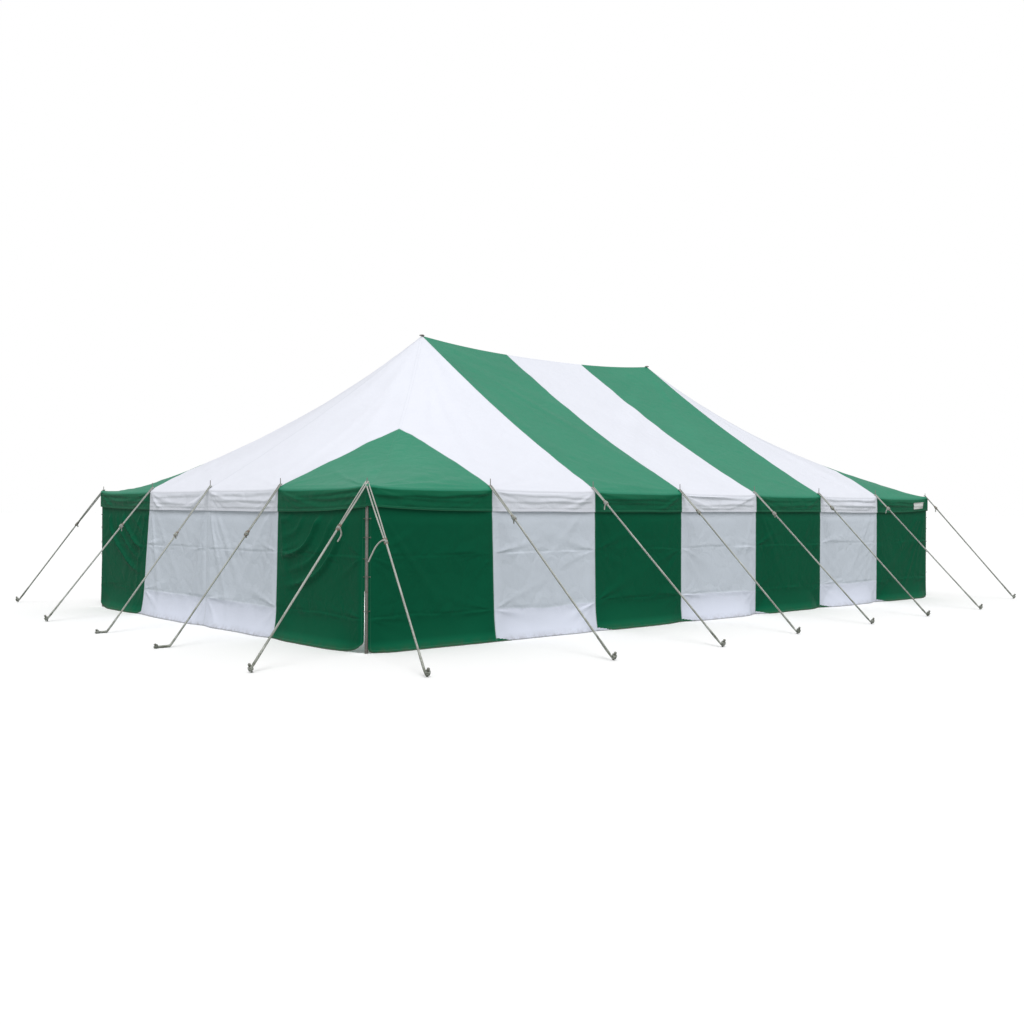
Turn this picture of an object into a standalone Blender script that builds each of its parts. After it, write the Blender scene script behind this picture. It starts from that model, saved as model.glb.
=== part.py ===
"""A striped pole marquee: a two-peaked roof on centre poles and side poles, a valance,
four wall curtains, and guy lines to steel pegs. Metres, +Z up, X along the long side,
origin on the ground at the centre of the plan.
"""

import math

import bmesh
import bpy
from mathutils import Vector

# Plan, measured between the axes of the corner poles
LENGTH = 15.0
WIDTH = 9.0
LONG_BAYS = 7
END_BAYS = 4
LONG_BAY = LENGTH / LONG_BAYS
END_BAY = WIDTH / END_BAYS

# Roof cloth
EDGE_HEIGHT = 2.215
PEAK_HEIGHT = 5.19
PEAK_BAYS_IN = 2
HIP_STRAIGHTNESS = 0.37
RIDGE_SAG = 0.155
RIDGE_SAG_POWER = 2.5
SLOPE_SAG = 0.12
CLOTH = 0.006
EDGE_OVERHANG = 0.042
EDGE_X = LENGTH / 2 + EDGE_OVERHANG
EDGE_Y = WIDTH / 2 + EDGE_OVERHANG
PEAK_X = LENGTH / 2 - PEAK_BAYS_IN * LONG_BAY
SLOPE_ROWS = 8
BAY_COLUMNS = 3

# Touching pieces keep this gap
SEAM = 0.0003

# Valance and wall curtains
VALANCE_DROP = 0.35
WALL_TOP = 2.16
WALL_END_GAP = 0.03
WALL_PROFILE = ((0.0, 1.0), (0.0, 0.21), (0.022, 0.13), (0.06, 0.06), (0.13, 0.0))
LONG_WALL_CORNER = 0.05
END_WALL_CORNER = 0.24
HEM_CORNER_STEPS = 4

# Side poles
SIDE_POLE_RADIUS = 0.024
SPIKE_RADIUS = 0.006
SPIKE_ABOVE_ROOF = 0.125
SPIKE_HOLE_RADIUS = 0.0068
SPIKE_HOLE_TURN = math.pi / 30
SPIKE_SIDES = 8
POLE_SIDES = 12

# Centre poles
CENTRE_POLE_RADIUS = 0.045
CENTRE_FOOT_RADIUS = 0.13
CENTRE_FOOT_HEIGHT = 0.012
CENTRE_SPIKE_RADIUS = 0.011
CENTRE_HOLE_RADIUS = 0.012
CAP_RADIUS = 0.06
CAP_HEIGHT = 0.014
CAP_STUB = 0.03

# Guy lines: rope, eye over the spike, wooden runner and steel peg
ROPE_RADIUS = 0.009
ROPE_SIDES = 6
EYE_INNER_RADIUS = 0.0067
EYE_OUTER_RADIUS = 0.0245
EYE_HEIGHT = 0.024
EYE_STRAND_OFFSET = (0.013, 0.0115)
RUNNER_STRAND_OFFSET = 0.013
RUNNER_SIZE = (0.10, 0.054, 0.032)
ROPE_INTO_PIECE = 0.02
ROPE_OVER_EDGE = 0.003
PEG_RADIUS = 0.0125
PEG_LENGTH = 0.15
PEG_LEAN = math.radians(24)
PEG_HEAD_RADIUS = 0.019
PEG_HEAD_HEIGHT = 0.014
HITCH_RADIUS = 0.022
HITCH_HEIGHT = 0.034
HITCH_UP_PEG = 0.055
PEG_SIDES = 8
# Each guy's reach to its peg and the share of its rope above the runner: along a long side
# from the left-hand corner, and along an end from the front corner
LONG_GUYS = (
    (2.52, 0.18),
    (2.58, 0.16),
    (2.34, 0.17),
    (2.32, 0.16),
    (2.26, 0.14),
    (2.24, 0.13),
)
END_GUYS = (
    (1.88, 0.28),
    (1.82, 0.32),
    (1.80, 0.32),
)
# The same for each corner, with the reach away from the end and away from the long side. The
# near corner and the one opposite it have two guys, the others one
CORNER_GUYS = {
    "corner_guys_front_left": (((0.53, 2.10), 0.27), ((1.95, 0.53), 0.22)),
    "corner_guy_back_left": (((0.96, 1.96), 0.30),),
    "corner_guy_front_right": (((1.04, 1.51), 0.12),),
    "corner_guys_back_right": (((0.53, 2.12), 0.16), ((1.95, 0.53), 0.27)),
}

MATERIALS = {
    "green_cloth": ((0.012, 0.19, 0.085, 1.0), 0.42, 0.0),
    "white_cloth": ((0.83, 0.84, 0.87, 1.0), 0.45, 0.0),
    "pole_steel": ((0.42, 0.41, 0.40, 1.0), 0.45, 0.9),
    "rope": ((0.62, 0.60, 0.55, 1.0), 0.8, 0.0),
}


def clear_scene():
    for obj in list(bpy.data.objects):
        bpy.data.objects.remove(obj, do_unlink=True)


def make_material(name, colour, roughness, metallic):
    material = bpy.data.materials.new(name)
    material.use_nodes = True
    shader = material.node_tree.nodes["Principled BSDF"]
    shader.inputs["Base Color"].default_value = colour
    shader.inputs["Roughness"].default_value = roughness
    shader.inputs["Metallic"].default_value = metallic
    material.diffuse_color = colour
    return material


def add_object(name, mesh, materials):
    for material in materials:
        mesh.materials.append(material)
    obj = bpy.data.objects.new(name, mesh)
    bpy.context.scene.collection.objects.link(obj)
    return obj


# Roof surface


def hip_height(share):
    """Height of the hip, from 0 at the corner of the roof's edge to 1 at the peak."""
    rise = HIP_STRAIGHTNESS * share + (1 - HIP_STRAIGHTNESS) * share * share
    return EDGE_HEIGHT + (PEAK_HEIGHT - EDGE_HEIGHT) * rise


def ridge_height(x):
    return PEAK_HEIGHT - RIDGE_SAG * (1 - abs(x / PEAK_X) ** RIDGE_SAG_POWER)


def roof_height(x, y):
    """Height of the roof's outer surface. Both slopes hang a little below a straight line."""
    in_from_end = (EDGE_X - abs(x)) / (EDGE_X - PEAK_X)
    in_from_side = (EDGE_Y - abs(y)) / EDGE_Y
    if in_from_end >= 1:
        top, share, sag = ridge_height(x), in_from_side, SLOPE_SAG
    else:
        larger = max(in_from_end, in_from_side)
        if larger <= 0:
            return EDGE_HEIGHT
        top = hip_height(larger)
        share = min(in_from_end, in_from_side) / larger
        sag = SLOPE_SAG * larger * larger
    return EDGE_HEIGHT + (top - EDGE_HEIGHT) * share - 4 * sag * share * (1 - share)


def hip_y(x):
    """Distance of the hip from the ridge line, at a place along the tent."""
    return EDGE_Y * (1 - min(1.0, (EDGE_X - abs(x)) / (EDGE_X - PEAK_X)))


def hip_x(y):
    """Distance of the hip from the middle of the tent, at a place across it."""
    return PEAK_X + (EDGE_X - PEAK_X) * abs(y) / EDGE_Y


def stations(half_length, half_edge, bays, columns):
    """Places along an eave: the two edges, the pole axes, and columns between them."""
    bay = 2 * half_length / bays
    steps = bays * columns
    inner = [-half_length + bay * i / columns for i in range(steps + 1)]
    inner[0], inner[-1] = -half_edge, half_edge
    return inner


def cloth_slope(name, columns, stripes, materials):
    """A slope of the roof: each column runs from the eave to the hip or ridge.

    A column of one point is a corner. stripes gives each column gap its material.
    """
    form = bmesh.new()
    layers = []
    for drop in (0.0, CLOTH):
        layers.append(
            [[form.verts.new((x, y, z - drop)) for x, y, z in column] for column in columns]
        )
    top, bottom = layers
    outlines = [[], []]
    for index in range(len(columns) - 1):
        for layer, flip in ((top, False), (bottom, True)):
            left, right = layer[index], layer[index + 1]
            for row in range(SLOPE_ROWS):
                corners = [
                    left[min(row, len(left) - 1)],
                    right[min(row, len(right) - 1)],
                    right[min(row + 1, len(right) - 1)],
                    left[min(row + 1, len(left) - 1)],
                ]
                for picked in ((0, 1, 2), (0, 2, 3)):
                    triangle = list(dict.fromkeys(corners[i] for i in picked))
                    if len(triangle) < 3:
                        continue
                    face = form.faces.new(triangle[::-1] if flip else triangle)
                    face.material_index = stripes[index]
    for end in (0, -1):
        for layer, outline in zip((top, bottom), outlines):
            outline.append([column[end] for column in layer])
    for side in (0, 1):
        above, below = outlines[0][side], outlines[1][side]
        for index in range(len(columns) - 1):
            corners = [above[index], below[index], below[index + 1], above[index + 1]]
            face = form.faces.new(corners[::-1] if side else corners)
            face.material_index = stripes[index]
    bmesh.ops.recalc_face_normals(form, faces=form.faces)
    mesh = bpy.data.meshes.new(name)
    form.to_mesh(mesh)
    form.free()
    return add_object(name, mesh, materials)


def stripe_of(place, half_length, bays):
    """0 for a green bay, 1 for a white one. The long sides change at each pole."""
    bay = min(bays - 1, max(0, int((place + half_length) / (2 * half_length / bays))))
    if bays == LONG_BAYS:
        return bay % 2
    return 0 if bay in (0, bays - 1) else 1


def slope_columns(places, edge, top_of, point_of):
    """Columns of points up a slope, with a row of them on the line of the side poles."""
    columns = []
    for place in places:
        top = top_of(place) + SEAM
        if top >= edge:
            columns.append([point_of(place, edge)])
            continue
        if edge - top < 2 * EDGE_OVERHANG:
            columns.append([point_of(place, edge), point_of(place, top)])
            continue
        first = edge - EDGE_OVERHANG
        steps = SLOPE_ROWS - 1
        rows = [edge] + [first + (top - first) * row / steps for row in range(steps + 1)]
        columns.append([point_of(place, across) for across in rows])
    return columns


def shortened(places, edge, other_edge, peak):
    """The outermost places, moved in so that the two slopes leave a seam on the hip."""
    trim = SEAM * (edge - peak) / other_edge
    return [places[0] + trim, *places[1:-1], places[-1] - trim]


def roof_slopes(cloths):
    long_places = shortened(
        stations(LENGTH / 2, EDGE_X, LONG_BAYS, BAY_COLUMNS), EDGE_X, EDGE_Y, PEAK_X
    )
    end_places = shortened(
        stations(WIDTH / 2, EDGE_Y, END_BAYS, BAY_COLUMNS), EDGE_Y, EDGE_X - PEAK_X, 0.0
    )
    slopes = []
    for name, side in (("roof_front", -1), ("roof_back", 1)):
        columns = slope_columns(
            long_places,
            EDGE_Y,
            hip_y,
            lambda x, y, side=side: (x, side * y, roof_height(x, y)),
        )
        middles = [(a + b) / 2 for a, b in zip(long_places, long_places[1:])]
        stripes = [stripe_of(x, LENGTH / 2, LONG_BAYS) for x in middles]
        slopes.append(cloth_slope(name, columns, stripes, cloths))
    for name, side in (("roof_left_end", -1), ("roof_right_end", 1)):
        columns = slope_columns(
            end_places,
            EDGE_X,
            hip_x,
            lambda y, x, side=side: (side * x, y, roof_height(x, y)),
        )
        middles = [(a + b) / 2 for a, b in zip(end_places, end_places[1:])]
        stripes = [stripe_of(y, WIDTH / 2, END_BAYS) for y in middles]
        slopes.append(cloth_slope(name, columns, stripes, cloths))
    return slopes


# Lofted solids


def ring(centre, radius, sides, axis=(0, 0, 1), start=(1, 0, 0)):
    """Points round a centre, square to an axis. The first lies towards start."""
    along = Vector(axis).normalized()
    across = (Vector(start) - along * Vector(start).dot(along)).normalized()
    other = along.cross(across)
    turns = [2 * math.pi * i / sides for i in range(sides)]
    return [
        Vector(centre) + radius * (math.cos(a) * across + math.sin(a) * other) for a in turns
    ]


def loft(name, rings, hole=False):
    """A closed mesh through rings of points. With a hole, the last ring meets the first."""
    form = bmesh.new()
    rows = [[form.verts.new(point) for point in points] for points in rings]
    sides = len(rows[0])
    pairs = list(zip(rows, rows[1:]))
    if hole:
        pairs.append((rows[-1], rows[0]))
    else:
        form.faces.new(rows[0][::-1])
        form.faces.new(rows[-1])
    for lower, upper in pairs:
        for i in range(sides):
            j = (i + 1) % sides
            form.faces.new((lower[i], lower[j], upper[j], upper[i]))
    bmesh.ops.recalc_face_normals(form, faces=form.faces)
    mesh = bpy.data.meshes.new(name)
    form.to_mesh(mesh)
    form.free()
    return mesh


def tube(start, end, radius, sides):
    axis = Vector(end) - Vector(start)
    side = axis.cross(Vector((0, 0, 1)))
    rings = [ring(point, radius, sides, axis, side) for point in (start, end)]
    return loft("tube", rings)


def block(centre, axis, size):
    """A box, its length along axis and its thickness as upright as that allows."""
    along = Vector(axis).normalized()
    across = along.cross(Vector((0, 0, 1))).normalized()
    up = across.cross(along)
    length, width, thickness = size
    rings = []
    for end in (-0.5, 0.5):
        middle = Vector(centre) + along * length * end
        corners = ((-0.5, -0.5), (0.5, -0.5), (0.5, 0.5), (-0.5, 0.5))
        rings.append([middle + across * width * a + up * thickness * b for a, b in corners])
    return loft("block", rings)


def joined(name, meshes, material):
    """One closed body from meshes that run into each other."""
    first, *others = [bpy.data.objects.new(f"{name}_{i}", m) for i, m in enumerate(meshes)]
    for obj in (first, *others):
        bpy.context.scene.collection.objects.link(obj)
    for other in others:
        modifier = first.modifiers.new("join", "BOOLEAN")
        modifier.operation = "UNION"
        modifier.object = other
    graph = bpy.context.evaluated_depsgraph_get()
    mesh = bpy.data.meshes.new_from_object(first.evaluated_get(graph))
    for obj in (first, *others):
        bpy.data.objects.remove(obj, do_unlink=True)
    mesh.name = name
    return add_object(name, mesh, [material])


# Poles


def pole_places():
    """Every side pole: its name, its place, and how its neighbours are told apart."""
    places = []
    for side, y in (("front", -WIDTH / 2), ("back", WIDTH / 2)):
        for index in range(LONG_BAYS + 1):
            places.append((f"side_pole_{side}_{index + 1}", -LENGTH / 2 + index * LONG_BAY, y))
    for side, x in (("left", -LENGTH / 2), ("right", LENGTH / 2)):
        for index in range(1, END_BAYS):
            places.append((f"side_pole_{side}_{index}", x, -WIDTH / 2 + index * END_BAY))
    return places


def lowest_roof(x, y, radius):
    """The lowest that the cloth's underside comes over a round pole."""
    around = ring((x, y, 0), radius, POLE_SIDES)
    return min(roof_height(point.x, point.y) for point in around) - CLOTH


def highest_roof(x, y, radius):
    around = ring((x, y, 0), radius, POLE_SIDES)
    return max(roof_height(x, y), *[roof_height(point.x, point.y) for point in around])


def side_pole(name, x, y, steel):
    shoulder = lowest_roof(x, y, SIDE_POLE_RADIUS) - SEAM
    top = roof_height(x, y) + SPIKE_ABOVE_ROOF
    foot = Vector((x, y, 0))
    shaft = loft(
        "shaft",
        [
            ring(foot, SIDE_POLE_RADIUS, POLE_SIDES),
            ring((x, y, shoulder), SIDE_POLE_RADIUS, POLE_SIDES),
        ],
    )
    spike = loft(
        "spike",
        [
            ring((x, y, shoulder - ROPE_INTO_PIECE), SPIKE_RADIUS, SPIKE_SIDES),
            ring((x, y, top), SPIKE_RADIUS, SPIKE_SIDES),
        ],
    )
    return joined(name, [shaft, spike], steel)


def centre_pole(name, x, steel):
    shoulder = lowest_roof(x, 0, CENTRE_POLE_RADIUS) - SEAM
    cap = PEAK_HEIGHT + SEAM
    profile = (
        (0, CENTRE_FOOT_RADIUS),
        (CENTRE_FOOT_HEIGHT, CENTRE_FOOT_RADIUS),
        (CENTRE_FOOT_HEIGHT, CENTRE_POLE_RADIUS),
        (shoulder, CENTRE_POLE_RADIUS),
        (shoulder, CENTRE_SPIKE_RADIUS),
        (cap, CENTRE_SPIKE_RADIUS),
        (cap, CAP_RADIUS),
        (cap + CAP_HEIGHT, CAP_RADIUS),
        (cap + CAP_HEIGHT, CENTRE_SPIKE_RADIUS),
        (cap + CAP_HEIGHT + CAP_STUB, CENTRE_SPIKE_RADIUS),
    )
    rings = [ring((x, 0, z), radius, POLE_SIDES) for z, radius in profile]
    return add_object(name, loft(name, rings), [steel])


def cut_spike_holes(slopes):
    """Round holes through the roof for the spikes and the centre poles."""
    form = bmesh.new()
    holes = [(x, y, SPIKE_HOLE_RADIUS, SPIKE_SIDES) for _, x, y in pole_places()]
    holes += [(x, 0, CENTRE_HOLE_RADIUS, POLE_SIDES) for x in (-PEAK_X, PEAK_X)]
    for x, y, radius, sides in holes:
        middle = roof_height(x, y)
        reach = 10 * radius
        start = (math.cos(SPIKE_HOLE_TURN), math.sin(SPIKE_HOLE_TURN), 0)
        rows = []
        for end in (-reach, reach):
            points = ring((x, y, middle + end), radius, sides, start=start)
            rows.append([form.verts.new(point) for point in points])
        form.faces.new(rows[0][::-1])
        form.faces.new(rows[1])
        for i in range(sides):
            j = (i + 1) % sides
            form.faces.new((rows[0][i], rows[0][j], rows[1][j], rows[1][i]))
    mesh = bpy.data.meshes.new("spike_holes")
    form.to_mesh(mesh)
    form.free()
    cutter = add_object("spike_holes", mesh, [])
    cutter.hide_render = True
    cutter.display_type = "WIRE"
    for slope in slopes:
        modifier = slope.modifiers.new("spike_holes", "BOOLEAN")
        modifier.operation = "DIFFERENCE"
        modifier.object = cutter


# Valance and walls


def valance(name, half_edge, half_length, across_edge, bays, point_of, cloths):
    """The short skirt under one side of the roof's edge, mitred at the tent's corners."""
    top = EDGE_HEIGHT - CLOTH - SEAM
    bay = 2 * half_length / bays
    joints = [-half_length + bay * i for i in range(1, bays)]
    form = bmesh.new()
    rows = []
    foot = top - VALANCE_DROP
    for inset, height in ((0, foot), (0, top), (CLOTH, top), (CLOTH, foot)):
        end = half_edge - inset - SEAM
        places = [-end, *joints, end]
        rows.append([form.verts.new(point_of(s, across_edge - inset, height)) for s in places])
    for row, following in zip(rows, rows[1:] + rows[:1]):
        for index in range(bays):
            quad = (row[index], row[index + 1], following[index + 1], following[index])
            middle = -half_length + bay * (index + 0.5)
            form.faces.new(quad).material_index = stripe_of(middle, half_length, bays)
    for end in (0, -1):
        form.faces.new([row[end] for row in rows])
    bmesh.ops.recalc_face_normals(form, faces=form.faces)
    mesh = bpy.data.meshes.new(name)
    form.to_mesh(mesh)
    form.free()
    return add_object(name, mesh, cloths)


def valances(cloths):
    for name, side in (("valance_front", -1), ("valance_back", 1)):
        point_of = lambda s, o, z, side=side: (s, side * o, z)
        valance(name, EDGE_X, LENGTH / 2, EDGE_Y, LONG_BAYS, point_of, cloths)
    for name, side in (("valance_left", -1), ("valance_right", 1)):
        point_of = lambda s, o, z, side=side: (side * o, s, z)
        valance(name, EDGE_Y, WIDTH / 2, EDGE_X, END_BAYS, point_of, cloths)


def hem_rise(distance, radius):
    """How far the rounded lower corner of a curtain is off the ground."""
    if distance >= radius:
        return 0.0
    inward = radius - distance
    return radius - math.sqrt(radius**2 - inward**2)


def wall_places(half_length, bays, radius):
    """Places along a curtain: both ends, the rounded corners, and the pole axes."""
    end = half_length - WALL_END_GAP
    bay = 2 * half_length / bays
    corner = [end - radius * i / HEM_CORNER_STEPS for i in range(HEM_CORNER_STEPS + 1)]
    inner = [-half_length + bay * i for i in range(1, bays)]
    return sorted([-place for place in corner] + inner + corner)


def wall(name, half_length, offset, bays, radius, point_of, cloths):
    """A curtain from just under the roof to the ground, kicked out at the foot."""
    places = wall_places(half_length, bays, radius)
    form = bmesh.new()
    layers = []
    for thickness in (SEAM, SEAM + CLOTH):
        columns = []
        for place in places:
            rise = hem_rise(half_length - WALL_END_GAP - abs(place), radius)
            column = []
            for out, share in WALL_PROFILE:
                height = share * WALL_TOP
                lift = rise * max(0.0, 1 - share / WALL_PROFILE[1][1])
                point = point_of(place, offset + thickness + out, height + lift)
                column.append(form.verts.new(point))
            columns.append(column)
        layers.append(columns)
    inner, outer = layers
    last = len(WALL_PROFILE) - 1
    for index in range(len(places) - 1):
        stripe = stripe_of((places[index] + places[index + 1]) / 2, half_length, bays)
        quads = []
        for row in range(last):
            for columns in layers:
                left, right = columns[index], columns[index + 1]
                quads.append((left[row], left[row + 1], right[row + 1], right[row]))
        for row in (0, last):
            left = (inner[index][row], outer[index][row])
            right = (outer[index + 1][row], inner[index + 1][row])
            quads.append(left + right)
        for quad in quads:
            form.faces.new(quad).material_index = stripe
    for index in (0, -1):
        for row in range(last):
            inside, outside = inner[index], outer[index]
            form.faces.new((inside[row], outside[row], outside[row + 1], inside[row + 1]))
    bmesh.ops.recalc_face_normals(form, faces=form.faces)
    mesh = bpy.data.meshes.new(name)
    form.to_mesh(mesh)
    form.free()
    return add_object(name, mesh, cloths)


def walls(cloths):
    half_length, half_width = LENGTH / 2, WIDTH / 2
    out_y, out_x = half_width + SIDE_POLE_RADIUS, half_length + SIDE_POLE_RADIUS
    for name, side in (("wall_front", -1), ("wall_back", 1)):
        point_of = lambda s, o, z, side=side: (s, side * o, z)
        wall(name, half_length, out_y, LONG_BAYS, LONG_WALL_CORNER, point_of, cloths)
    for name, side in (("wall_left", -1), ("wall_right", 1)):
        point_of = lambda s, o, z, side=side: (side * o, s, z)
        wall(name, half_width, out_x, END_BAYS, END_WALL_CORNER, point_of, cloths)


# Guy lines


def guy_peg(foot, outward):
    """A steel peg that leans away from the tent, cut off level at the ground."""
    axis = outward * math.sin(PEG_LEAN) + Vector((0, 0, math.cos(PEG_LEAN)))
    side = outward.cross(Vector((0, 0, 1)))
    head = foot + axis * PEG_LENGTH
    ground = []
    for point in ring(foot, PEG_RADIUS, PEG_SIDES, axis, side):
        ground.append(point - axis * (point.z / axis.z))
    shaft = loft("peg", [ground, ring(head, PEG_RADIUS, PEG_SIDES, axis, side)])
    crown = loft(
        "head",
        [
            ring(head - axis * PEG_HEAD_HEIGHT / 2, PEG_HEAD_RADIUS, PEG_SIDES, axis, side),
            ring(head + axis * PEG_HEAD_HEIGHT / 2, PEG_HEAD_RADIUS, PEG_SIDES, axis, side),
        ],
    )
    hitch_centre = foot + axis * HITCH_UP_PEG
    hitch = loft(
        "hitch",
        [
            ring(hitch_centre - axis * HITCH_HEIGHT / 2, HITCH_RADIUS, PEG_SIDES, axis, side),
            ring(hitch_centre + axis * HITCH_HEIGHT / 2, HITCH_RADIUS, PEG_SIDES, axis, side),
        ],
    )
    return hitch_centre, [shaft, crown, hitch]


def eye_height(x, y, ropes):
    """Height of the underside of a rope eye, so that its ropes pass over the roof's edge."""
    heights = [highest_roof(x, y, EYE_OUTER_RADIUS) + SEAM]
    for reach, _ in ropes:
        level_run = math.hypot(*reach)
        steepness = EDGE_HEIGHT / level_run
        smaller, larger = sorted(abs(away) for away in reach)
        to_edge = (EDGE_OVERHANG * level_run + EYE_STRAND_OFFSET[1] * smaller) / larger
        strand = ROPE_RADIUS * math.hypot(1, steepness) + ROPE_OVER_EDGE
        drop = steepness * (to_edge - EYE_STRAND_OFFSET[0])
        heights.append(EDGE_HEIGHT + drop + strand - EYE_HEIGHT / 2)
    return max(heights)


def rope_eye(x, y, under):
    """A ring over the spike, with a flat side square to each of the tent's sides."""
    half_side = math.pi / SPIKE_SIDES
    start = (math.cos(half_side), math.sin(half_side), 0)
    rings = []
    for height, radius in (
        (under, EYE_INNER_RADIUS),
        (under, EYE_OUTER_RADIUS),
        (under + EYE_HEIGHT, EYE_OUTER_RADIUS),
        (under + EYE_HEIGHT, EYE_INNER_RADIUS),
    ):
        rings.append(ring((x, y, height), radius, SPIKE_SIDES, start=start))
    return loft("eye", rings, hole=True)


def guy_rope(x, y, under, reach, runner_share):
    """A rope from its eye, doubled as far as the runner, then single to a peg."""
    outward = Vector((reach[0], reach[1], 0)).normalized()
    sideways = Vector((0, 0, 1)).cross(outward)
    hitch, peg_meshes = guy_peg(Vector((x + reach[0], y + reach[1], 0)), outward)
    start = Vector((x, y, under + EYE_HEIGHT / 2)) + outward * EYE_STRAND_OFFSET[0]
    slope = (hitch - start).normalized()
    runner = start + (hitch - start) * runner_share
    end_of_runner = slope * (RUNNER_SIZE[0] / 2 - ROPE_INTO_PIECE)
    strands = []
    for side in (-1, 1):
        from_eye = start + sideways * side * EYE_STRAND_OFFSET[1]
        to_runner = runner - end_of_runner + sideways * side * RUNNER_STRAND_OFFSET
        strands.append(tube(from_eye, to_runner, ROPE_RADIUS, ROPE_SIDES))
    single = tube(runner + end_of_runner, hitch, ROPE_RADIUS, ROPE_SIDES)
    return [*strands, block(runner, slope, RUNNER_SIZE), single, *peg_meshes]


def guy_line(name, x, y, ropes, rope):
    """One rope, or the two of a corner, which share an eye over the spike."""
    under = eye_height(x, y, ropes)
    meshes = [rope_eye(x, y, under)]
    for reach, runner_share in ropes:
        meshes += guy_rope(x, y, under, reach, runner_share)
    return joined(name, meshes, rope)


def guy_lines(rope):
    for side, sign in (("front", -1), ("back", 1)):
        for index in range(1, LONG_BAYS):
            reach, share = LONG_GUYS[index - 1]
            x = -LENGTH / 2 + index * LONG_BAY
            name = f"guy_{side}_{index + 1}"
            guy_line(name, x, sign * WIDTH / 2, [((0, sign * reach), share)], rope)
    for side, sign in (("left", -1), ("right", 1)):
        for index in range(1, END_BAYS):
            reach, share = END_GUYS[index - 1]
            y = -WIDTH / 2 + index * END_BAY
            name = f"guy_{side}_{index}"
            guy_line(name, sign * LENGTH / 2, y, [((sign * reach, 0), share)], rope)
    for name, guys in CORNER_GUYS.items():
        end_sign = -1 if name.endswith("left") else 1
        side_sign = -1 if "front" in name else 1
        ropes = [((end_sign * away[0], side_sign * away[1]), share) for away, share in guys]
        guy_line(name, end_sign * LENGTH / 2, side_sign * WIDTH / 2, ropes, rope)


def main():
    clear_scene()
    materials = {name: make_material(name, *values) for name, values in MATERIALS.items()}
    cloths = [materials["green_cloth"], materials["white_cloth"]]
    slopes = roof_slopes(cloths)
    cut_spike_holes(slopes)
    valances(cloths)
    walls(cloths)
    for name, x, y in pole_places():
        side_pole(name, x, y, materials["pole_steel"])
    centre_pole("centre_pole_left", -PEAK_X, materials["pole_steel"])
    centre_pole("centre_pole_right", PEAK_X, materials["pole_steel"])
    guy_lines(materials["rope"])


main()
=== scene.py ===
"""Looks of a striped pole marquee: its cloth, ropes, poles, pegs and the stage it stands on.

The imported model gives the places. Metres, +Z up, X along the long side, ground at Z 0.
"""

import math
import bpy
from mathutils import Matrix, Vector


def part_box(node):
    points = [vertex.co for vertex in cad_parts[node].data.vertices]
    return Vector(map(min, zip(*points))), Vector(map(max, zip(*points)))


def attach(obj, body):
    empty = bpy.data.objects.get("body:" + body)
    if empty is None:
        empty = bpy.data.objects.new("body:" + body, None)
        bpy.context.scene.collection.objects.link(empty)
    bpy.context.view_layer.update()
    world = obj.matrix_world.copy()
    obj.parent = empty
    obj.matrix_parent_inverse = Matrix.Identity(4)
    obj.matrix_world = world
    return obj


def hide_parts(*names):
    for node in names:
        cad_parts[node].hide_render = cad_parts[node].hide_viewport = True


bl_info = {
    "name": "Striped Pole Marquee",
    "version": (1, 0, 0),
    "blender": (4, 5, 0),
    "location": "3D View > Sidebar > Marquee",
    "description": "Dresses the frame of a pole marquee with cloth, ropes, poles and pegs",
    "category": "Object",
}

from collections import namedtuple

import bmesh
import bpy
import numpy as np
from bpy.props import FloatProperty, FloatVectorProperty, IntProperty, PointerProperty
from bpy.types import Operator, Panel, PropertyGroup
from mathutils import Matrix, Vector

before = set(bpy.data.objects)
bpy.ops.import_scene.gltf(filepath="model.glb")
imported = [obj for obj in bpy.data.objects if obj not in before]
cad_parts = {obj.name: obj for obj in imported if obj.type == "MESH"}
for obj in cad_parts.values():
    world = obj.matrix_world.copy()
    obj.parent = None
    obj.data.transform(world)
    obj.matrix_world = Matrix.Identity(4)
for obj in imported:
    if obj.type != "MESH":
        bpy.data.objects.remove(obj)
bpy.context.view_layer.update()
BODY = "root"
CLOTH_SLOT, STEEL_SLOT, ROPE_SLOT = "striped_canvas", "pole_steel", "guy_rope"


def middle_of(node):
    """The plan position of an upright piece of the frame."""
    low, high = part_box(node)
    return (low.x + high.x) / 2, (low.y + high.y) / 2


# Plan of the frame
LONG_BAYS = 7
END_BAYS = 4
POLE_X = -middle_of("side_pole_front_1")[0]
POLE_Y = -middle_of("side_pole_front_1")[1]
EDGE_X = -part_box("roof_left_end")[0].x
EDGE_Y = -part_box("roof_front")[0].y
PEAK_X = middle_of("centre_pole_right")[0]

# Roof shape, as in the part
EDGE_HEIGHT = 2.215
PEAK_HEIGHT = 5.19
HIP_POWER = 1.62
FAR_HIP_POWER = 1.85
FULLNESS = {"left": 0.065, "right": 0.17, "end": 0.0, "far_end": 0.11}
FAR_CORNER_SAG = 0.085
CORNER_LIFT = 0.025
RIDGE_SAG = 0.155
RIDGE_SAG_POWER = 2.5
SLOPE_SAG = 0.12
# How far in from the edge its lift and its dips still reach
EDGE_REACH = 0.3

# Curtains and valance, as in the part
WALL_FACE = 0.0303
WALL_TOP = 2.16
CURTAIN_END_GAP = 0.006
WALL_KICK_START = 0.45
WALL_KICK = 0.13
WALL_CORNER = {"long": (0.10, 0.05), "end": (0.42, 0.17)}
CREASES = (1.27, 0.46)
# Top of the painted light on the green curtains' foot: a brighter band standing in for the sky light that
# the flared foot catches
PAINTED_LIGHT_BAND = 0.17
VALANCE_TOP = 2.201
VALANCE_FOOT = {"front": 1.88, "back": 1.88, "left": 1.862, "right": 1.862}
VALANCE_CORNER_LIFT = 0.07
SHELTERED = (1.70, 1.84)
LABEL_LOW = (6.87, 1.980)
LABEL_HIGH = (7.28, 2.120)
LABEL_SLANT = 0.022
LABEL_THICKNESS = 0.0015

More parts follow.
